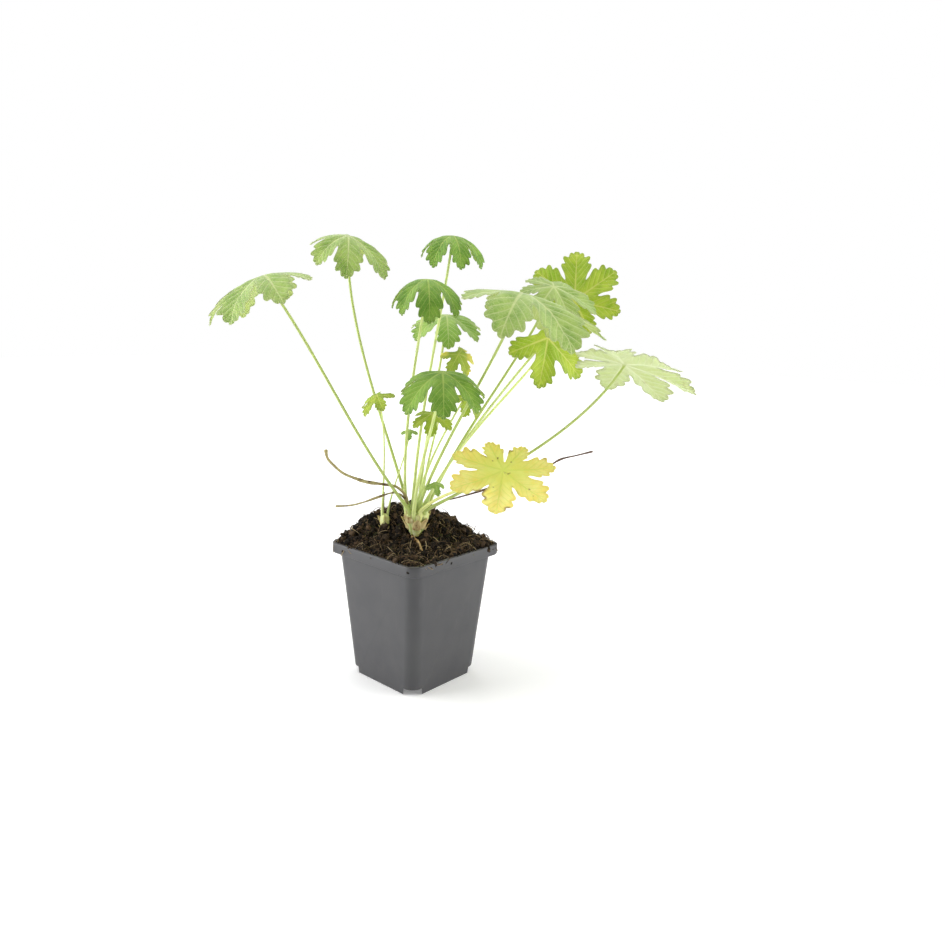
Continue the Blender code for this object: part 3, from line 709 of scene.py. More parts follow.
@dataclass(frozen=True)
class Pot:
    """The square pot: a thin tapering shell with a rim band, foot notches and drain holes."""

    height: float = 100.0
    rim_width: float = 90.0
    rim_height: float = 7.5
    rim_wall: float = 1.8
    neck_width: float = 81.7
    foot_width: float = 66.3
    wall: float = 1.2
    floor: float = 1.5
    corner: float = 9.0
    corner_steps: int = 12
    edge: float = 0.7
    edge_steps: int = 3
    foot_edge: tuple[tuple[float, float], ...] = ((0.0, 0.6), (0.25, 0.2), (0.8, 0.0))
    notch_height: float = 5.0
    notch_width: float = 13.0
    notch_start: float = 31.0
    drain_radius: float = 2.5
    drain_reach: float = 36.0
    drain_sides: int = 20
    sharp: float = 38.0
    finish: PotFinish = PotFinish()

    def square(self, half: float, up: float, side_steps: int = 1) -> list[Vector]:
        """A square ring with round corners, counterclockwise from above.

        Args:
            half: half its width.
            up: its height.
            side_steps: points along each straight side.

        Returns:
            The ring's points.
        """
        ring = []
        reach = half - self.corner
        for quarter in range(4):
            corner = []
            for i in range(self.corner_steps + 1):
                angle = math.radians(90 * i / self.corner_steps)
                corner.append((reach + self.corner * math.cos(angle), reach + self.corner * math.sin(angle)))
            last = corner[-1]
            corner += [(last[0] * (1 - 2 * i / side_steps), last[1]) for i in range(1, side_steps)]
            turn = Matrix.Rotation(math.radians(90 * quarter), 3, "Z")
            ring += [turn @ Vector((x, y, up)) for x, y in corner]
        return ring

    def _loft(self, levels: Iterable[tuple[float, float]]) -> Shape:
        """A closed shape through levels, each a height and half a width."""
        shape = Shape()
        shape.tube([self.square(half, up) for up, half in levels])
        return shape

    def _rounded(self, top: float, half: float) -> list[tuple[float, float]]:
        """Levels that round the outer edge at the top of a side."""
        turns = [math.radians(90 * i / self.edge_steps) for i in range(self.edge_steps + 1)]
        return [
            (top - self.edge + self.edge * math.sin(t), half - self.edge + self.edge * math.cos(t))
            for t in turns
        ]

    def _blocks(self, grow: float) -> Shape:
        """The four blocks of the foot's corner notches, larger all round by grow."""
        shape = Shape()
        for quarter in range(4):
            angle = math.radians(45 + 90 * quarter)
            out = ray(angle, 0)
            across = Vector((-out.y, out.x, 0))
            half, near, far = self.notch_width / 2 + grow, self.notch_start - grow, self.foot_width
            flat = [(near, -half), (far, -half), (far, half), (near, half)]
            shape.tube([[out * r + across * w + Vector((0, 0, up)) for r, w in flat]
                        for up in (-self.notch_height, self.notch_height + grow)])
        return shape

    def _drains(self) -> Shape:
        """The cutters of the drain holes."""
        shape = Shape()
        for quarter in range(4):
            angle = math.radians(45 + 90 * quarter)
            centre = ray(angle, 0) * self.drain_reach
            path = [centre, centre + Vector((0, 0, 2 * self.notch_height))]
            shape.tube(tube_rings(path, [self.drain_radius] * 2, self.drain_sides, Vector((1, 0, 0))))
        return shape

    def inside(self, gap: float, top: float) -> list[tuple[float, float]]:
        """Levels of the pot's inside, smaller by the gap, up to a height."""
        neck = self.height - self.rim_height
        slope = (self.neck_width - self.foot_width) / 2 / neck
        floor = self.floor + gap
        rim = self.rim_width / 2 - self.rim_wall - gap
        return [
            (floor, self.foot_width / 2 + slope * floor - self.wall - gap),
            (neck + self.wall + gap, self.neck_width / 2 - self.wall - gap),
            (neck + 2 * self.wall + gap, rim),
            (top, rim),
        ]

    def build(self) -> bpy.types.Object:
        """Makes the pot in place of its node, with its rim marked."""
        material = self.finish.material()
        neck, rim, foot = self.height - self.rim_height, self.rim_width / 2, self.foot_width / 2
        rounded = self._rounded(neck + self.edge, rim)
        levels = [(up, foot - inset) for up, inset in self.foot_edge] + [(neck, self.neck_width / 2)]
        levels += [(neck + self.edge - (up - neck), half) for up, half in rounded][::-1]
        levels += self._rounded(self.height, rim)
        pot = self._loft(levels).piece("nursery_pot", material)
        combine(pot, self._blocks(0.0).piece("notches", material), "DIFFERENCE")
        hollow = self._loft(self.inside(0.0, self.height + 5)).piece("hollow", material)
        combine(hollow, self._blocks(self.wall).piece("steps", material), "DIFFERENCE")
        combine(pot, hollow, "DIFFERENCE")
        combine(pot, self._drains().piece("drains", material), "DIFFERENCE")
        pot.data.shade_smooth()
        pot.data.set_sharp_from_angle(angle=math.radians(self.sharp))
        rim_top = [float(v.co.z > (self.height - 0.1) * MM) for v in pot.data.vertices]
        pot.data.attributes.new("rim", "FLOAT", "POINT").data.foreach_set("value", rim_top)
        settle(pot, "pot_plastic", "pot")
        return pot


@dataclass(frozen=True)
class Soil:
    """The potting mix: a rough heaped surface under crumbs, fibres and moss."""

    pot: Pot
    edge: float = 98.6
    bottom: float = 7.0
    rings: int = 62
    side_steps: int = 36
    heap_height: float = 23.0
    heap_side: float = -6.0
    heap_back: float = 12.0
    half_side: float = 35.0
    half_front: float = 17.0
    half_back: float = 28.0
    clod_size: float = 7.0
    clod_height: float = 3.6
    crumb_height: float = 1.5
    crumb_size: float = 2.1
    root_course: tuple[tuple[float, float], ...] = (
        (-1.9, -7.5), (0.6, -12.0), (3.2, -15.5), (5.2, -19.0), (8.0, -24.5))
    root_radius: float = 1.3
    root_lift: float = 1.0
    root_dip: float = 1.6
    root_taper: float = 0.6
    root_knots: float = 0.3
    root_knot_size: float = 2.2

    HEAP_POWER = 4
    FINE_SHARE = 0.5
    FINE_SCALE = 2.3
    CRUMB_SLICE = 5.0
    MOSS_SLICE = 30.0
    MOSS_SIZE = 16
    FLAT_RINGS = 4
    OPEN_BELOW_EDGE = 1.0

    def height(self, point: Vector) -> float:
        """Height of the surface over a point of the pot's frame."""
        side, back = sides_of(point)
        side, back = side - self.heap_side, back - self.heap_back
        half_back = self.half_back if back > 0 else self.half_front
        away = math.hypot(side / self.half_side, back / half_back)
        mound = self.heap_height / (1 + away ** self.HEAP_POWER)
        spot = Vector((point.x, point.y, 0)) / self.clod_size
        clods = abs(noise.noise(spot)) + self.FINE_SHARE * abs(noise.noise(spot * self.FINE_SCALE))
        crumbs = noise.noise(Vector((point.x, point.y, self.CRUMB_SLICE)) / self.crumb_size)
        return self.edge + mound + self.clod_height * (2 * clods - 0.5) + self.crumb_height * crumbs

    def _moss(self, point: Vector) -> float:
        """How mossy the surface is at a point of the pot's frame."""
        clouds = noise.noise(Vector((point.x, point.y, self.MOSS_SLICE)) / self.MOSS_SIZE)
        return max(0.0, min(1.0, 4 * clouds - 0.5))

    def _root(self) -> None:
        """The bare root that runs from the crown down over the soil."""
        places = [
            (side, back, self.height(in_plant(side, back)) + self.root_lift)
            for side, back in self.root_course
        ]
        places[-1] = (*self.root_course[-1], places[-1][2] - self.root_dip)
        path = smooth_path(places, 5)
        radii = [
            self.root_radius * (1 - self.root_taper * i / len(path))
            * (1 + self.root_knots * noise.noise(p / self.root_knot_size))
            for i, p in enumerate(path)
        ]
        shape = Shape()
        shape.tube(tube_rings(path, radii, 10, Vector((0, 0, 1))))
        settle(shape.piece("bare_root", PlainTone.ROOT.value.material(), 70.0), "crown_pale")

    def _surface(self) -> bpy.types.Object:
        """The closed body of soil, its open top marked for what lies on it."""
        levels = self.pot.inside(GAP, self.edge)
        (low, low_half), (high, high_half) = levels[0], levels[1]
        share = (self.bottom - low) / (high - low)
        levels[0] = (self.bottom, low_half + (high_half - low_half) * share)
        rings = [self.pot.square(half, up, self.side_steps) for up, half in levels]
        rim = rings[-1]
        for i in range(1, self.rings):
            share = 1 - i / self.rings
            blend = min(1.0, i / self.FLAT_RINGS)
            ring = []
            for p in rim:
                spot = Vector((p.x * share, p.y * share, 0))
                ring.append(Vector((spot.x, spot.y, self.edge + (self.height(spot) - self.edge) * blend)))
            rings.append(ring)
        shape = Shape()
        shape.tube(rings)
        shape.points[-1].z = self.height(shape.points[-1])
        top = [i for i, p in enumerate(shape.points) if p.z > self.edge - self.OPEN_BELOW_EDGE]
        shape.marks["open"] = dict.fromkeys(top, 1.0)
        shape.marks["mossy"] = {i: self._moss(shape.points[i]) for i in top}
        return shape.piece("potting_soil", PlainTone.SOIL.value.material(), 80.0)

    def build(self, pot_piece: bpy.types.Object) -> None:
        """Makes the soil in place of its node, and strews what lies on it.

        Args:
            pot_piece: the finished pot, whose rim is marked.
        """
        soil = self._surface()
        layers = (
            ("soil_clods", PlainTone.CLOD, (
                Scatter("strewn_lumps", Grain.CLOD, "open", 0.010, 3.6, 6.5, 90, 2),
                Scatter("strewn_clods", Grain.CLOD, "open", 0.040, 1.8, 4.0, 90, 3))),
            ("soil_crumbs", PlainTone.CLOD, (
                Scatter("strewn_crumbs", Grain.CRUMB, "open", 0.34, 0.9, 2.4, 90, 4),
                Scatter("strewn_grains", Grain.CRUMB, "open", 0.30, 0.4, 0.9, 90, 5))),
            ("soil_fibres", PlainTone.FIBRE, (
                Scatter("strewn_fibres", Grain.FIBRE, "open", 0.055, 4.0, 13.0, 28, 6),
                Scatter("strewn_bits", Grain.FIBRE, "open", 0.14, 1.8, 4.5, 65, 7))),
            ("soil_moss", PlainTone.MOSS, (
                Scatter("strewn_moss", Grain.HAIR, "mossy", 0.9, 1.0, 2.2, 50, 8),
                Scatter("strewn_moss_strands", Grain.FIBRE, "mossy", 0.05, 3.0, 7.0, 30, 9))),
        )
        for name, tone, scatters in layers:
            material = tone.value.material()
            meshes = [scatter.over(soil, material) for scatter in scatters]
            if name == "soil_crumbs":
                fallen = Scatter("rim_crumbs", Grain.CRUMB, "rim", 0.14, 0.4, 1.1, 90, 10)
                meshes.append(fallen.over(pot_piece, material))
            settle(joined(name, meshes, material), "potting_mix")
        self._root()
        settle(soil, "potting_mix", "soil")


@dataclass(frozen=True)
class Crown:
    """A ribbed clump of stalk bases, with papery sheaths round it."""

    name: str
    node: str
    place: tuple[float, float]
    profile: tuple[tuple[float, float], ...]
    top: float
    sides: int = 56
    ribs: int = 9
    rib_depth: float = 0.16
    level_step: float = 1.1
    core: float = 0.84
    scales: int = 9
    scale_height: float = 9.5
    scale_wall: float = 0.3

    CLOSING = 2.2
    TIP_CLOSED = 0.75
    RIB_TWIST = 0.10
    LUMPS = 0.07
    LUMP_PITCH = (2, 0.3)
    SEED = 11
    SCALE_STRAY = 0.3
    SCALE_SHARE = (0.6, 1.1)
    SCALE_DEPTH = (6.0, 17.0)
    SCALE_LEAN = (8, 24)
    SCALE_FOOT = 0.55
    SCALE_CURVE = 0.46
    SCALE_STEPS = 6
    SCALE_SPREAD = 1.2
    SCALE_TIP = 0.05
    SCALE_FLARE = 1.3

    def half(self, up: float) -> float:
        """Half width at a height."""
        for (low, a), (high, b) in zip(self.profile, self.profile[1:]):
            if up <= high:
                share = max(0.0, (up - low) / (high - low))
                return a + (b - a) * share
        return self.profile[-1][1]

    def build(self) -> None:
        """Makes the crown in place of its node."""
        low = self.profile[0][0]
        count = int((self.top - low) / self.level_step)
        ups = [low + (self.top - low) * i / count for i in range(count + 1)]
        centre = in_plant(*self.place)
        rings = []
        for up in ups:
            ring = []
            closing = max(0.0, (up - self.top + self.CLOSING) / self.CLOSING)
            for i in range(self.sides):
                angle = math.tau * i / self.sides
                ridge = abs(math.cos(self.ribs * angle / 2 + up * self.RIB_TWIST))
                rib = 1 + self.rib_depth * ridge - self.rib_depth / 2
                across, along = self.LUMP_PITCH
                spot = Vector((across * math.cos(angle), across * math.sin(angle), up * along))
                lump = self.LUMPS * noise.noise(spot)
                closed = math.sqrt(1 - self.TIP_CLOSED * closing ** 2)
                reach = self.core * self.half(up) * (rib + lump) * closed
                ring.append(centre + Vector((reach * math.cos(angle), reach * math.sin(angle), up)))
            rings.append(ring)
        shape = Shape()
        shape.tube(rings)
        crown = shape.piece(self.name, PlainTone.CROWN.value.material(), 70.0)
        settle(crown, "crown_pale", self.node)
        self._scales()

    def _scales(self) -> None:
        """The papery pointed sheaths that stand round the stalk bases."""
        rng = random.Random(self.SEED)
        shape = Shape()
        centre = in_plant(*self.place)
        for i in range(self.scales):
            bearing = 360 * (i + rng.uniform(-self.SCALE_STRAY, self.SCALE_STRAY)) / self.scales
            height = self.scale_height * rng.uniform(*self.SCALE_SHARE)
            low = self.top - rng.uniform(*self.SCALE_DEPTH)
            out = slanted(bearing, 90)
            along = slanted(bearing, rng.uniform(*self.SCALE_LEAN))
            foot = centre + Vector((0, 0, low)) + out * (self.half(low) * self.SCALE_FOOT)
            self._scale(shape, foot, along, out, self.half(low) * self.SCALE_CURVE, height)
        piece = shape.piece(f"{self.name}_scales", PlainTone.PAPERY.value.material(), 60.0)
        settle(piece, "crown_pale")

    def _scale(
        self, shape: Shape, foot: Vector, along: Vector, out: Vector, radius: float, height: float
    ) -> None:
        """Adds one sheath: a hollow pointed scale, closed all round.

        Args:
            shape: what it is added to.
            foot: the middle of its foot's curve.
            along: the way it points.
            out: the way it faces.
            radius: the radius of its curve.
            height: its length.
        """
        across = along.cross(out).normalized()
        out = across.cross(along).normalized()
        steps, layers = self.SCALE_STEPS, []
        for wall in (0.0, self.scale_wall):
            grid = []
            for j in range(steps + 1):
                t = j / steps
                spread = self.SCALE_SPREAD * (1 - t ** 2) + self.SCALE_TIP
                reach = radius + wall + self.SCALE_FLARE * t ** 2
                for k in range(steps + 1):
                    angle = (2 * k / steps - 1) * spread
                    way = out * math.cos(angle) + across * math.sin(angle)
                    grid.append(foot + along * (height * t) + way * reach)
            layers.append(shape.add(grid))
        inner, outer = layers
        wide = steps + 1
        for j in range(steps):
            for k in range(steps):
                a = j * wide + k
                square = (a, a + 1, a + wide + 1, a + wide)
                shape.faces += [tuple(outer[q] for q in square), tuple(inner[q] for q in square[::-1])]
        rim = [(j, j + 1) for j in range(steps)]
        rim += [(j * wide + steps, (j + 1) * wide + steps) for j in range(steps)]
        rim += [(steps * wide + k + 1, steps * wide + k) for k in range(steps)]
        rim += [((j + 1) * wide, j * wide) for j in range(steps)]
        shape.faces += [(outer[q], outer[p], inner[p], inner[q]) for p, q in rim]


MAIN_CROWN = Crown(
    "crown_of_sheaths", "crown_main", (0.5, -4.0),
    ((96, 2.0), (101, 3.4), (106, 5.2), (110, 6.4), (115, 8.0), (119, 9.6), (123, 10.1)), 124.5)
SHOOT = Crown(
    "side_shoot", "crown_side", (-22.5, -1.0),
    ((104, 1.4), (108, 2.6), (113, 3.6), (117, 3.9), (119.5, 3.6)), 120.5, 32, 5, scales=5, scale_height=6.0)


@dataclass(frozen=True)
class Leaf:
    """One leaf: its toothed, bent blade and its stalk in one closed mesh."""

    node: str
    seed: int
    base: tuple[float, float]
    hub: tuple[float, float, float]
    radius: float
    face: tuple[float, float]
    spin: float
    cup: float
    fold: float = 0.0
    lean: float = 15.0
    rise: float = 25.0
    stalk: float = 1.15
    lobes: int = 7
    crown: Crown = MAIN_CROWN
    tone: LeafTone = LeafTone.FRESH

    SPREAD = {7: (0, 51, 102, 152), 5: (0, 60, 116), 3: (0, 70)}
    LENGTH = {7: (1.0, 0.97, 0.88, 0.68), 5: (1.0, 0.93, 0.78), 3: (1.0, 0.85)}
    EDGE = (
        (0.50, 0.200), (0.585, 0.244), (0.655, 0.272), (0.70, 0.262), (0.708, 0.225), (0.715, 0.198),
        (0.765, 0.226), (0.825, 0.248), (0.866, 0.225), (0.858, 0.178), (0.852, 0.135),
        (0.905, 0.138), (0.950, 0.122), (0.965, 0.085), (0.955, 0.052), (0.990, 0.045), (1.004, 0.0),
    )
    LOBE_CUT = 0.40
    SINUS_CUT = 0.14
    SIDES = 10
    STEPS = 44
    BLADE = 0.34
    HUB = 1.1
    HUB_SPREAD = 1.45
    HUB_DROP = 1.3
    PLEAT = 0.05
    TAPER = 0.74
    KNEE = 0.7
    SOCKET = 5.0
    SPLAY = 1.1
    ROOTING = ((0.25, 21.0), (0.42, 17.0), (0.62, 12.5), (0.82, 8.5))
    SWELL = 0.55
    SWELL_REACH = 7.0
    BUMPS = 0.05
    BUMP_SIZE = 5
    ROUNDING = 0.25
    COARSEST = 34
    FINEST = 0.8
    ROW = 0.866
    REACH = 1.1
    NEAR_HUB = 0.5
    NEAR_EDGE = 0.6
    WOBBLE = 0.12
    WOBBLE_REACH = 1.5
    STRAIGHT = 1e-6
    PLEAT_START = 5
    QUILT = 0.009
    QUILT_START = (4, 0.6)
    QUILT_WIDTH = 0.26
    QUILT_CORE = 0.05
    RIPPLE = 0.035
    RIPPLE_COUNT = 4.5
    RIPPLE_SLICE = 7.0
    START = 1.5
    START_HANDLE = 0.35
    END_HANDLE = 0.3
    THINNING = 3
    EDGE_REACH = 12
    HAIRY_EDGE = 0.05
    BLADE_DOWN = 0.02
    STALK_DOWN = 0.28

    def _lobes(self) -> list[tuple[float, float]]:
        """Bearing in the blade and length of each lobe, in order round the blade."""
        rng = random.Random(self.seed)
        spread, lengths = self.SPREAD[self.lobes], self.LENGTH[self.lobes]
        lobes = []
        for i in range(-(len(spread) - 1), len(spread)):
            bearing = math.copysign(spread[abs(i)], i) + rng.uniform(-1.5, 1.5)
            lobes.append((math.radians(bearing), lengths[abs(i)] * rng.uniform(0.94, 1.04)))
        return lobes

    def _outline(self, lobes: Sequence[tuple[float, float]]) -> list[Vector]:
        """The toothed outline, its teeth rounded."""
        outline = [Vector((-self.SINUS_CUT, 0))]
        sides = [(a, -c) for a, c in self.EDGE] + [(a, c) for a, c in self.EDGE[-2::-1]]
        for i, (bearing, length) in enumerate(lobes):
            out = ray(bearing)
            left = Vector((-out.y, out.x))
            outline += [(out * a + left * c) * length for a, c in sides]
            if i + 1 < len(lobes):
                between = (bearing + lobes[i + 1][0]) / 2
                outline.append(ray(between) * self.LOBE_CUT)
        outline = [p * self.radius for p in outline]
        rounded = []
        for i, a in enumerate(outline):
            b = outline[(i + 1) % len(outline)]
            rounded += [a.lerp(b, self.ROUNDING), a.lerp(b, 1 - self.ROUNDING)]
        return rounded

    def _plan(self, outline: Sequence[Vector]) -> tuple[list[Vector], list[tuple[int, ...]], np.ndarray]:
        """Flat points of the blade, its triangles, and how far each point is from the outline."""
        pitch = max(self.FINEST, self.radius / self.COARSEST)
        hub = self.stalk * self.HUB_SPREAD
        ring = [ray(math.tau * i / self.SIDES) * hub for i in range(self.SIDES)]
        edge = np.array(outline)
        rows = int(self.radius * self.REACH / (pitch * self.ROW))
        steps = int(self.radius * self.REACH / pitch)
        grid = np.array([
            ((j + 0.5 * (i % 2)) * pitch, i * pitch * self.ROW)
            for i in range(-rows, rows + 1) for j in range(-steps, steps + 1)])
        far = np.min(np.linalg.norm(grid[:, None] - edge[None], axis=2), axis=1)
        reach = np.linalg.norm(grid, axis=1)
        kept = (far > self.NEAR_EDGE * pitch) & (np.abs(reach - hub) >= self.NEAR_HUB * pitch)
        grid = grid[kept & self._within(grid, edge) & (reach < self.REACH * self.radius)]
        flat = ring + list(outline) + [Vector(p) for p in grid.tolist()]
        count, round_count = len(ring), len(outline)
        edges = [(i, (i + 1) % count) for i in range(count)]
        edges += [(count + i, count + (i + 1) % round_count) for i in range(round_count)]
        points, _, faces, *_ = geometry.delaunay_2d_cdt(flat, edges, [], 1, 1e-5)
        places = np.array(points)
        middles = places[np.array(faces)].mean(axis=1)
        kept = self._within(middles, edge)
        faces = [tuple(f) for f, keep in zip(faces, kept) if keep]
        margin = np.min(np.linalg.norm(places[:, None] - edge[None], axis=2), axis=1)
        return points, faces, margin

    @staticmethod
    def _within(points: np.ndarray, edge: np.ndarray) -> np.ndarray:
        """Whether each point lies in the closed outline."""
        a, b = edge, np.roll(edge, -1, axis=0)
        x, y = points[:, 0:1], points[:, 1:2]
        spans = (a[:, 1] > y) != (b[:, 1] > y)
        rise = np.where(b[:, 1] == a[:, 1], 1.0, b[:, 1] - a[:, 1])
        cross = a[:, 0] + (b[:, 0] - a[:, 0]) * (y - a[:, 1]) / rise
        return ((x < cross) & spans).sum(axis=1) % 2 == 1

    def _pleat(self, bearing: float, lobes: Sequence[tuple[float, float]]) -> float:
        """From -1 on the middle of a lobe to 1 between two lobes."""
        for (low, _), (high, _) in zip(lobes, lobes[1:]):
            if low <= bearing <= high:
                return -math.cos(math.tau * (bearing - low) / (high - low))
        return -1.0

    def _on_lobe(self, flat: Vector, bearing: float) -> tuple[float, float]:
        """Places along and across a lobe, as shares of the blade's radius."""
        out = ray(bearing)
        return flat.dot(out) / self.radius, (flat.y * out.x - flat.x * out.y) / self.radius

    def _bent(self, flat: Vector, lobes: Sequence[tuple[float, float]]) -> tuple[Vector, Vector]:
        """Middle and upward direction, in the blade's frame, of a flat point once the blade is bent."""
        reach = flat.length
        bearing = math.atan2(flat.y, flat.x)
        x, y = self.WOBBLE_REACH * math.cos(bearing), self.WOBBLE_REACH * math.sin(bearing)
        wobble = 1 + self.WOBBLE * noise.noise(Vector((x, y, self.seed)))
        sides = 1 - self.fold * math.cos(2 * bearing)
        bend = math.radians(self.cup) * sides * wobble / self.radius
        slope = bend * reach
        out, drop = reach, 0.0
        if abs(slope) > self.STRAIGHT:
            out, drop = math.sin(slope) / bend, (1 - math.cos(slope)) / bend
        away = ray(bearing, 0)
        up = away * math.sin(slope) + Vector((0, 0, math.cos(slope)))
        share = reach / self.radius
        ridge = self.PLEAT * reach * self._pleat(bearing, lobes) * min(1.0, self.PLEAT_START * share)
        nearest = min((b for b, _ in lobes), key=lambda b: abs(b - bearing))
        along, across = self._on_lobe(flat, nearest)
        phase = (along - RIB_SLANT * abs(across)) / RIB_PITCH
        growth, start = self.QUILT_START
        begun = max(0.0, min(1.0, growth * share - start))
        quilt = -self.QUILT * self.radius * math.cos(math.tau * phase) * begun
        quilt *= max(0.0, 1 - abs(across) / self.QUILT_WIDTH) * min(1.0, abs(across) / self.QUILT_CORE)
        spot = Vector((*(flat * (self.RIPPLE_COUNT / self.radius)), self.RIPPLE_SLICE * self.seed))
        ripple = self.RIPPLE * self.radius * share ** 2 * noise.noise(spot)
        return away * out - Vector((0, 0, drop)) + up * (ridge + quilt + ripple), up

    def _rooted(self, share: float, down: float) -> Vector:
        """A place in the crown: a share of the way out to the leaf's base, down from the crown's top."""
        (side, back), (out, away) = self.crown.place, self.base
        return in_plant(side + out * share, back + away * share, self.crown.top - down)

    def path(self) -> list[Vector]:
        """Points of the stalk from its foot in the crown to just under its blade."""
        out = math.hypot(*self.base)
        bearing = math.degrees(math.atan2(self.base[1], self.base[0])) if out else 0.0
        along = slanted(bearing, self.SPLAY * out)
        foot = self._rooted(1.0, 0.0) - along * self.SOCKET
        normal = slanted(*self.face)
        end = in_plant(*self.hub) - normal * self.HUB_DROP
        start = foot + along * (self.SOCKET + self.START)
        chord = end - start
        side, back = sides_of(chord)
        bearing = math.degrees(math.atan2(back, side))
        handle = start + slanted(bearing, self.lean) * (chord.length * self.START_HANDLE)
        arriving = (slanted(bearing, self.rise) + normal * self.KNEE).normalized()
        far_handle = end - arriving * (chord.length * self.END_HANDLE)
        deep = [self._rooted(share, down) for share, down in self.ROOTING]
        rise = curve_points(start, handle, far_handle, end, self.STEPS)
        return deep + [foot, foot.lerp(start, 0.5), start] + rise

    def _blade(
        self, shape: Shape, lobes: Sequence[tuple[float, float]], tip: Vector, normal: Vector
    ) -> list[int]:
        """Adds the blade, and returns the ring under its hub."""
        outline = self._outline(lobes)
        flat, triangles, margin = self._plan(outline)
        side = normal.cross(tip)
        hub = in_plant(*self.hub) + normal * (self.HUB / 2)
        layers: list[list[int]] = []
        bent = [self._bent(p, lobes) for p in flat]
        for sign in (1, -1):
            places = []
            for p, (middle, up) in zip(flat, bent):
                share = min(1.0, p.length / self.radius * self.THINNING)
                q = middle + up * (sign * (self.HUB + (self.BLADE - self.HUB) * share) / 2)
                places.append(hub + tip * q.x + side * q.y + normal * q.z)
            layer = shape.add(places, under=(1 - sign) / 2)
            for i, distance in zip(layer, margin):
                shape.marks.setdefault("edge", {})[i] = min(1.0, distance / self.EDGE_REACH)
                down = 1.0 if distance < self.HAIRY_EDGE else self.BLADE_DOWN
                shape.marks.setdefault("down", {})[i] = down
            layers.append(layer)
        upper, lower = layers
        inner = self.stalk * self.HUB_SPREAD * 1.01
        bearings = [b for b, _ in lobes]
        for face in triangles:
            middle = sum((flat[i] for i in face), Vector((0, 0))) / 3
            bearing = math.atan2(middle.y, middle.x)
            nearest = min(bearings, key=lambda b: abs(b - bearing))
            corners = [self._on_lobe(flat[i], nearest) for i in face]
            shape.pattern[len(shape.faces)] = corners
            shape.faces.append(tuple(upper[i] for i in face))
            if max(flat[i].length for i in face) > inner:
                shape.pattern[len(shape.faces)] = corners[::-1]
                shape.faces.append(tuple(lower[i] for i in face[::-1]))
        rim = range(self.SIDES, self.SIDES + len(outline))
        for i in rim:
            j = rim[0] + (i - rim[0] + 1) % len(rim)
            shape.faces += [(lower[i], lower[j], upper[j]), (lower[i], upper[j], upper[i])]
        return [lower[i] for i in range(self.SIDES)]

    def build(self) -> bpy.types.Object:
        """Makes the leaf in place of its node."""
        normal = slanted(*self.face)
        downhill = slanted(self.face[0], self.face[1] + 90)
        spin = math.radians(self.spin)
        tip = downhill * math.cos(spin) + normal.cross(downhill) * math.sin(spin)
        shape = Shape()
        previous = self._blade(shape, self._lobes(), tip, normal)
        down = self.path()[::-1]
        radii = []
        start = len(self.ROOTING) + 3
        for i, p in enumerate(down):
            taper = self.stalk * (self.TAPER + (1 - self.TAPER) * i / (len(down) - 1))
            above = (p - down[-start]).length if i < len(down) - start else 0.0
            swell = 1 + self.SWELL * math.exp(-above / self.SWELL_REACH)
            radii.append(taper * swell * (1 + self.BUMPS * noise.noise(p / self.BUMP_SIZE)))
        for ring in tube_rings(down, radii, self.SIDES, tip):
            indices = shape.add([ring[0]] + ring[:0:-1], stalk=1.0, under=1.0, edge=1.0, down=self.STALK_DOWN)
            shape.bridge(indices, previous)
            previous = indices
        shape.fan(previous[::-1], shape.add([down[-1]], stalk=1.0)[0])
        shape.tidy()
        blade = shape.piece(f"{self.node}_blade", self.tone.value.material(), 60.0)
        settle(blade, "leaf_yellow" if self.tone is LeafTone.YELLOW else "leaf_green", self.node)
        return blade


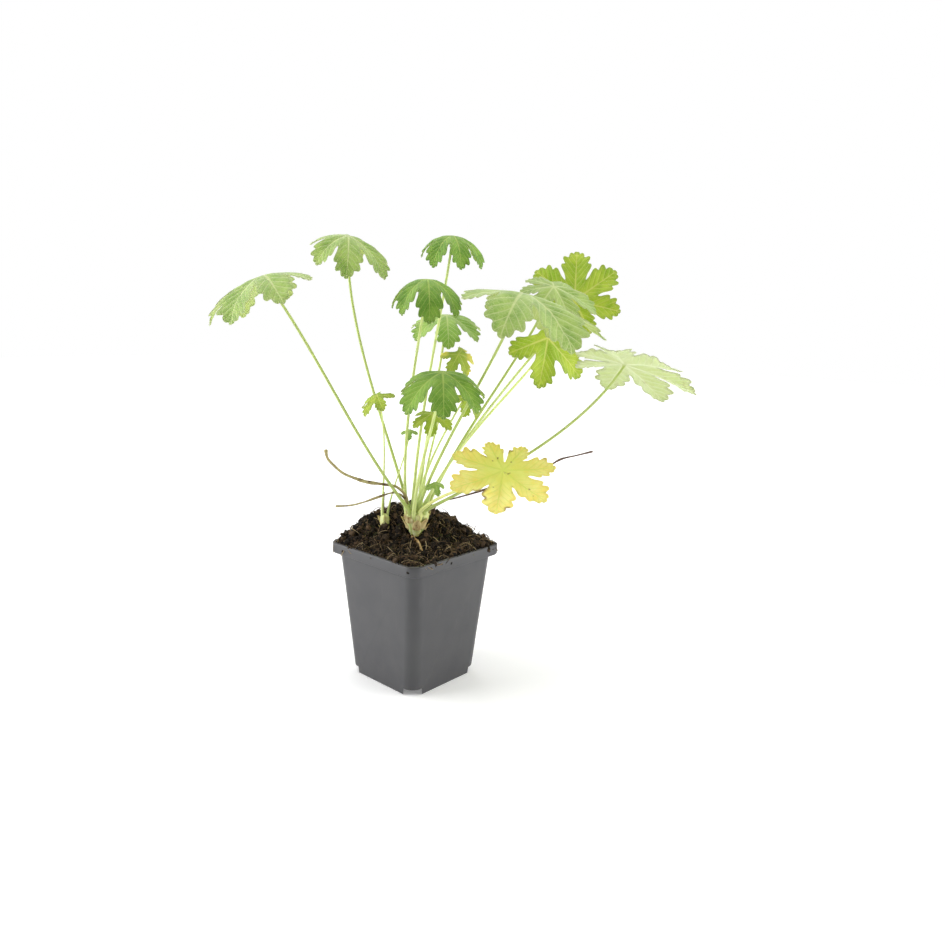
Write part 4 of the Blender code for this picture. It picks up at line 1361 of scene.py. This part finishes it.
LEAVES = (
    Leaf("leaf_01", 0, (-4.2, -6.1), (-96, -40, 283), 50, (200, 20), -10, 50, 0.1, 38, 48,
         tone=LeafTone.PAINTED_SHEEN),
    Leaf("leaf_02", 1, (-6.1, 4.3), (-55, 36, 316), 43, (305, 20), 30, 68, 0.2, 22, 4, tone=LeafTone.PAINTED_SHEEN),
    Leaf("leaf_03", 2, (-3.1, 6.7), (21, 22, 317), 35, (290, 10), 0, 82, 0.0, 3, 12, tone=LeafTone.DEEP),
    Leaf("leaf_04", 3, (-7.4, 0.6), (6, -12, 285), 39, (280, 10), 0, 88, 0.0, -6, 14, tone=LeafTone.DEEP),
    Leaf("leaf_05", 4, (1.3, 7.3), (17, 45, 262), 36, (275, 15), 0, 48, 0.1, 6, 18),
    Leaf("leaf_06", 5, (1.0, -3.6), (68, -42, 277), 63, (345, 12), 15, 44, 0.4, 20, 28, tone=LeafTone.PAINTED_SHEEN),
    Leaf("leaf_07", 6, (7.0, 2.5), (95, 38, 285), 38, (290, 30), 60, 36, 0.2, 24, 28, tone=LeafTone.PAINTED_SHEEN),
    Leaf("leaf_08", 7, (4.8, 5.7), (115, 70, 277), 44, (262, 72), 182, 12, 0.0, 28, 32, tone=LeafTone.PAINTED_BACKLIGHT),
    Leaf("leaf_09", 8, (3.6, -1.0), (90, 14, 249), 40, (295, 66), 45, 16, 0.0, 28, 35, 1.15, 5,
         tone=LeafTone.PAINTED_BACKLIGHT),
    Leaf("leaf_10", 9, (6.1, -4.2), (138, -27, 234), 54, (50, 22), -60, 14, 0.0, 60, 42, tone=LeafTone.PALE),
    Leaf("leaf_11", 10, (-1.3, -7.3), (19, -50, 226), 40, (275, 15), 0, 68, 0.0, 12, 24, tone=LeafTone.DEEP),
    Leaf("leaf_12", 11, (0.0, 0.0), (33, 5, 206), 19, (330, 45), 20, 40, 0.0, 8, 20, 0.95, 5,
         tone=LeafTone.PAINTED_BACKLIGHT),
    Leaf("leaf_13", 12, (-2.6, -2.6), (11, -13, 195), 19, (270, 30), 0, 45, 0.0, 8, 15, 0.95, 5,
         tone=LeafTone.PAINTED_BACKLIGHT),
    Leaf("leaf_14", 13, (-1.9, -0.6), (-26, -18, 207), 18, (220, 35), 0, 35, 0.0, -12, 12, 0.7, 5, SHOOT,
         LeafTone.PAINTED_BACKLIGHT),
    Leaf("leaf_15", 14, (2.6, 2.6), (27, 22, 235), 18, (300, 48), 20, 45, 0.0, 8, 12, 0.9, 5,
         tone=LeafTone.TURNING),
    Leaf("leaf_16", 15, (1.9, 0.8), (-6, 4, 181), 8.5, (270, 40), 0, 25, 0.0, 10, 10, 0.6, 3, SHOOT),
    Leaf("leaf_yellow", 16, (3.1, -6.7), (60, -48, 164), 41, (272, 34), -8, -14, 0.0, 45, 75,
         tone=LeafTone.YELLOW),
    Leaf("leaf_young", 17, (7.3, -1.1), (14, -15, 147), 10, (300, 50), 0, 30, 0.3, 12, 25, 0.8, 3),
)


@dataclass(frozen=True)
class Foliage:
    """All the leaves, and the down on them."""

    leaves: tuple[Leaf, ...] = LEAVES
    hairs_per_mm2: float = 1.7
    shortest: float = 0.5
    longest: float = 1.3
    tilt: float = 35

    def build(self) -> None:
        """Makes the leaves, then the hairs on their stalks and edges."""
        material = PlainTone.DOWN.value.material()
        meshes = []
        for leaf in self.leaves:
            blade = leaf.build()
            hairs = Scatter(
                "down", Grain.HAIR, "down", self.hairs_per_mm2, self.shortest, self.longest, self.tilt,
                leaf.seed)
            meshes.append(hairs.over(blade, material))
        if meshes:
            settle(joined("leaf_down", meshes, material), "leaf_green")


@dataclass(frozen=True)
class DryStalk:
    """A dried stalk of last year, with swollen joints and a scarred tip."""

    name: str
    node: str
    places: tuple[tuple[float, float, float], ...]
    radius: float
    tone: PlainTone
    joints: tuple[float, ...] = ()
    branch: tuple[tuple[float, float, float], ...] = ()
    branch_radius: float = 0.6
    sides: int = 12
    steps: int = 7

    JOINT = 0.45
    JOINT_REACH = 2.2
    SCAR = 0.5
    SCAR_REACH = 3.0
    BUMPS = 0.14
    BUMP_SIZE = 2.5
    TIP = 0.75

    def _tube(self, shape: Shape, places: Sequence[Point], radius: float) -> None:
        """Adds one stalk with its joints and its scar."""
        path = smooth_path(places, self.steps)
        radii = []
        for i, p in enumerate(path):
            share = i / (len(path) - 1)
            swell = sum(
                self.JOINT * math.exp(-((share - joint) * len(path) / self.JOINT_REACH) ** 2)
                for joint in self.joints)
            scar = self.SCAR * math.exp(-((1 - share) * len(path) / self.SCAR_REACH) ** 2)
            radii.append(radius * (1 + swell + scar + self.BUMPS * noise.noise(p / self.BUMP_SIZE)))
        radii[-1] *= self.TIP
        along = (path[1] - path[0]).normalized()
        shape.tube(tube_rings(path, radii, self.sides, along.cross(Vector((1, 1, 0))).normalized()))

    def build(self) -> None:
        """Makes the stalk in place of its node."""
        shape = Shape()
        self._tube(shape, self.places, self.radius)
        if self.branch:
            self._tube(shape, self.branch, self.branch_radius)
        settle(shape.piece(self.name, self.tone.value.material(), 70.0), "dry_stalk", self.node)


DRY_STALKS = (
    DryStalk(
        "old_stalk", "dead_stalk_left",
        ((-6, -7, 117), (-6, -8, 126), (-7, -9, 136), (-13, -11, 143), (-21, -13, 145), (-33, -16, 147),
         (-41, -19, 150), (-49, -22, 154), (-55, -25, 160), (-59, -26, 165), (-60, -27, 171)),
        0.95, PlainTone.DRIED, (0.18, 0.48, 0.56),
        ((-7, -9, 133), (-10, -10, 137), (-16, -12, 139), (-26, -14, 136), (-35, -17, 133), (-44, -20, 131),
         (-54, -24, 131)), 0.6),
    DryStalk(
        "thin_stalk", "dead_stalk_right",
        ((13, 7, 112), (13, 7, 124), (18, 7, 129), (31, 7, 133), (46, 7, 138), (64, 8, 145), (82, 10, 152),
         (94, 12, 156), (104, 14, 162), (116, 16, 165), (128, 18, 168)),
        0.6, PlainTone.BROWN, (0.4, 0.72, 0.8)),
    DryStalk(
        "stub", "stub_left",
        ((-24.5, 5, 113), (-24, 4.5, 122), (-24, 4, 129), (-24, 4, 136)), 0.5, PlainTone.BROWN),
)


@dataclass(frozen=True)
class Studio:
    """The pale floor, the soft lights and the camera."""

    turn: float = 41.5
    elevation: float = 11.26
    roll: float = 1.77
    lens: float = 29.08
    place: tuple[float, float, float] = (0.385787, -0.375762, 0.259915)
    sky: float = 0.62
    sky_in_front: float = 0.16
    floor_side: float = 8.0
    floor_glow: float = 0.24
    floor_far_glow: float = 0.8
    glow_reach: tuple[float, float] = (0.35, 1.1)
    sky_turn: tuple[float, float] = (0.35, 0.85)
    sensor: float = 36.0
    near: float = 0.01
    aim: float = 0.16

    WHITE = (1.0, 1.0, 1.0)
    LIGHTS = (
        ("left_light", (-1150, -150, 550), 0.9, 13.5),
        ("right_light", (1150, -200, 500), 0.9, 10.5),
        ("top_light", (-150, 150, 1300), 1.1, 8.0),
    )

    def _camera(self) -> None:
        """Stands the camera in front of the plant."""
        data = bpy.data.cameras.new("camera")
        data.lens = self.lens
        data.sensor_width = self.sensor
        data.clip_start = self.near
        camera = linked("camera", data)
        a, e, r = (math.radians(x) for x in (self.turn, self.elevation, self.roll))
        right = ray(a, 0)
        back = Vector((math.sin(a) * math.cos(e), -math.cos(a) * math.cos(e), math.sin(e)))
        up = back.cross(right)
        across = right * math.cos(r) + up * math.sin(r)
        above = up * math.cos(r) - right * math.sin(r)
        turned = Matrix((across, above, back)).transposed().to_4x4()
        turned.translation = self.place
        camera.matrix_world = turned
        bpy.context.scene.camera = camera

    def _light(self, name: str, place: Vector, size: float, power: float) -> None:
        """Hangs a soft light that faces the plant."""
        data = bpy.data.lights.new(name, "AREA")
        data.size = size
        data.energy = power
        light = linked(name, data)
        light.location = place
        aim = Vector((0, 0, self.aim)) - place
        light.rotation_euler = aim.to_track_quat("-Z", "Y").to_euler()

    def _floor(self) -> None:
        """Lays the floor, which glows more away from the plant and so ends in white."""
        half = self.floor_side / 2
        data = bpy.data.meshes.new("studio_floor")
        corners = [(-half, -half, 0), (half, -half, 0), (half, half, 0), (-half, half, 0)]
        data.from_pydata(corners, [], [(0, 1, 2, 3)])
        paint = Paint("floor_white")
        clouds = paint.fade(paint.noise(400.0, 2.0), 0.3, 0.7)
        white = paint.mix(clouds, (0.90, 0.90, 0.90), (0.92, 0.92, 0.92))
        away = paint.node("ShaderNodeVectorMath", {0: paint.place}, operation="LENGTH").outputs["Value"]
        glow = paint.fade(away, *self.glow_reach, self.floor_glow, self.floor_far_glow)
        paint.set(
            Base_Color=white, Roughness=0.8, Specular_IOR_Level=0.1, Emission_Color=white,
            Emission_Strength=glow)
        data.materials.append(paint.material)
        linked("studio_floor", data)

    def _sky(self) -> None:
        """Lights from all round, less from the camera's side; the camera sees plain white."""
        world = bpy.data.worlds.new("sky")
        world.use_nodes = True
        net = Wiring(world.node_tree)
        way = net.node("ShaderNodeTexCoord").outputs["Generated"]
        inputs = {0: way, 1: Vector(self.place).normalized()}
        toward = net.node("ShaderNodeVectorMath", inputs, operation="DOT_PRODUCT").outputs["Value"]
        low, high = self.sky_turn
        strength = net.node("ShaderNodeMapRange", {
            "Value": toward, "From Min": low, "From Max": high, "To Min": self.sky,
            "To Max": self.sky_in_front}).outputs[0]
        sky = net.node("ShaderNodeBackground", {"Color": self.WHITE, "Strength": strength})
        seen = net.node("ShaderNodeBackground", {"Color": self.WHITE})
        rays = net.node("ShaderNodeLightPath").outputs["Is Camera Ray"]
        choice = net.node("ShaderNodeMixShader", {0: rays, 1: sky.outputs[0], 2: seen.outputs[0]})
        net.put(net.tree.nodes["World Output"].inputs[0], choice.outputs[0])
        bpy.context.scene.world = world

    def build(self) -> None:
        """Makes the floor, the sky, the lights and the camera."""
        self._floor()
        self._sky()
        bpy.context.scene.view_settings.view_transform = "Standard"
        for name, place, size, power in self.LIGHTS:
            self._light(name, in_plant(*place) * MM, size, power)
        self._camera()


def main() -> None:
    """Builds the studio, the pot, the soil and the plant."""
    logging.basicConfig(level=logging.INFO, format="%(message)s")
    Studio().build()
    pot = Pot()
    Soil(pot).build(pot.build())
    for crown in (MAIN_CROWN, SHOOT):
        crown.build()
    Foliage().build()
    for stalk in DRY_STALKS:
        stalk.build()
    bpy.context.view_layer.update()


if __name__ == "__main__":
    main()
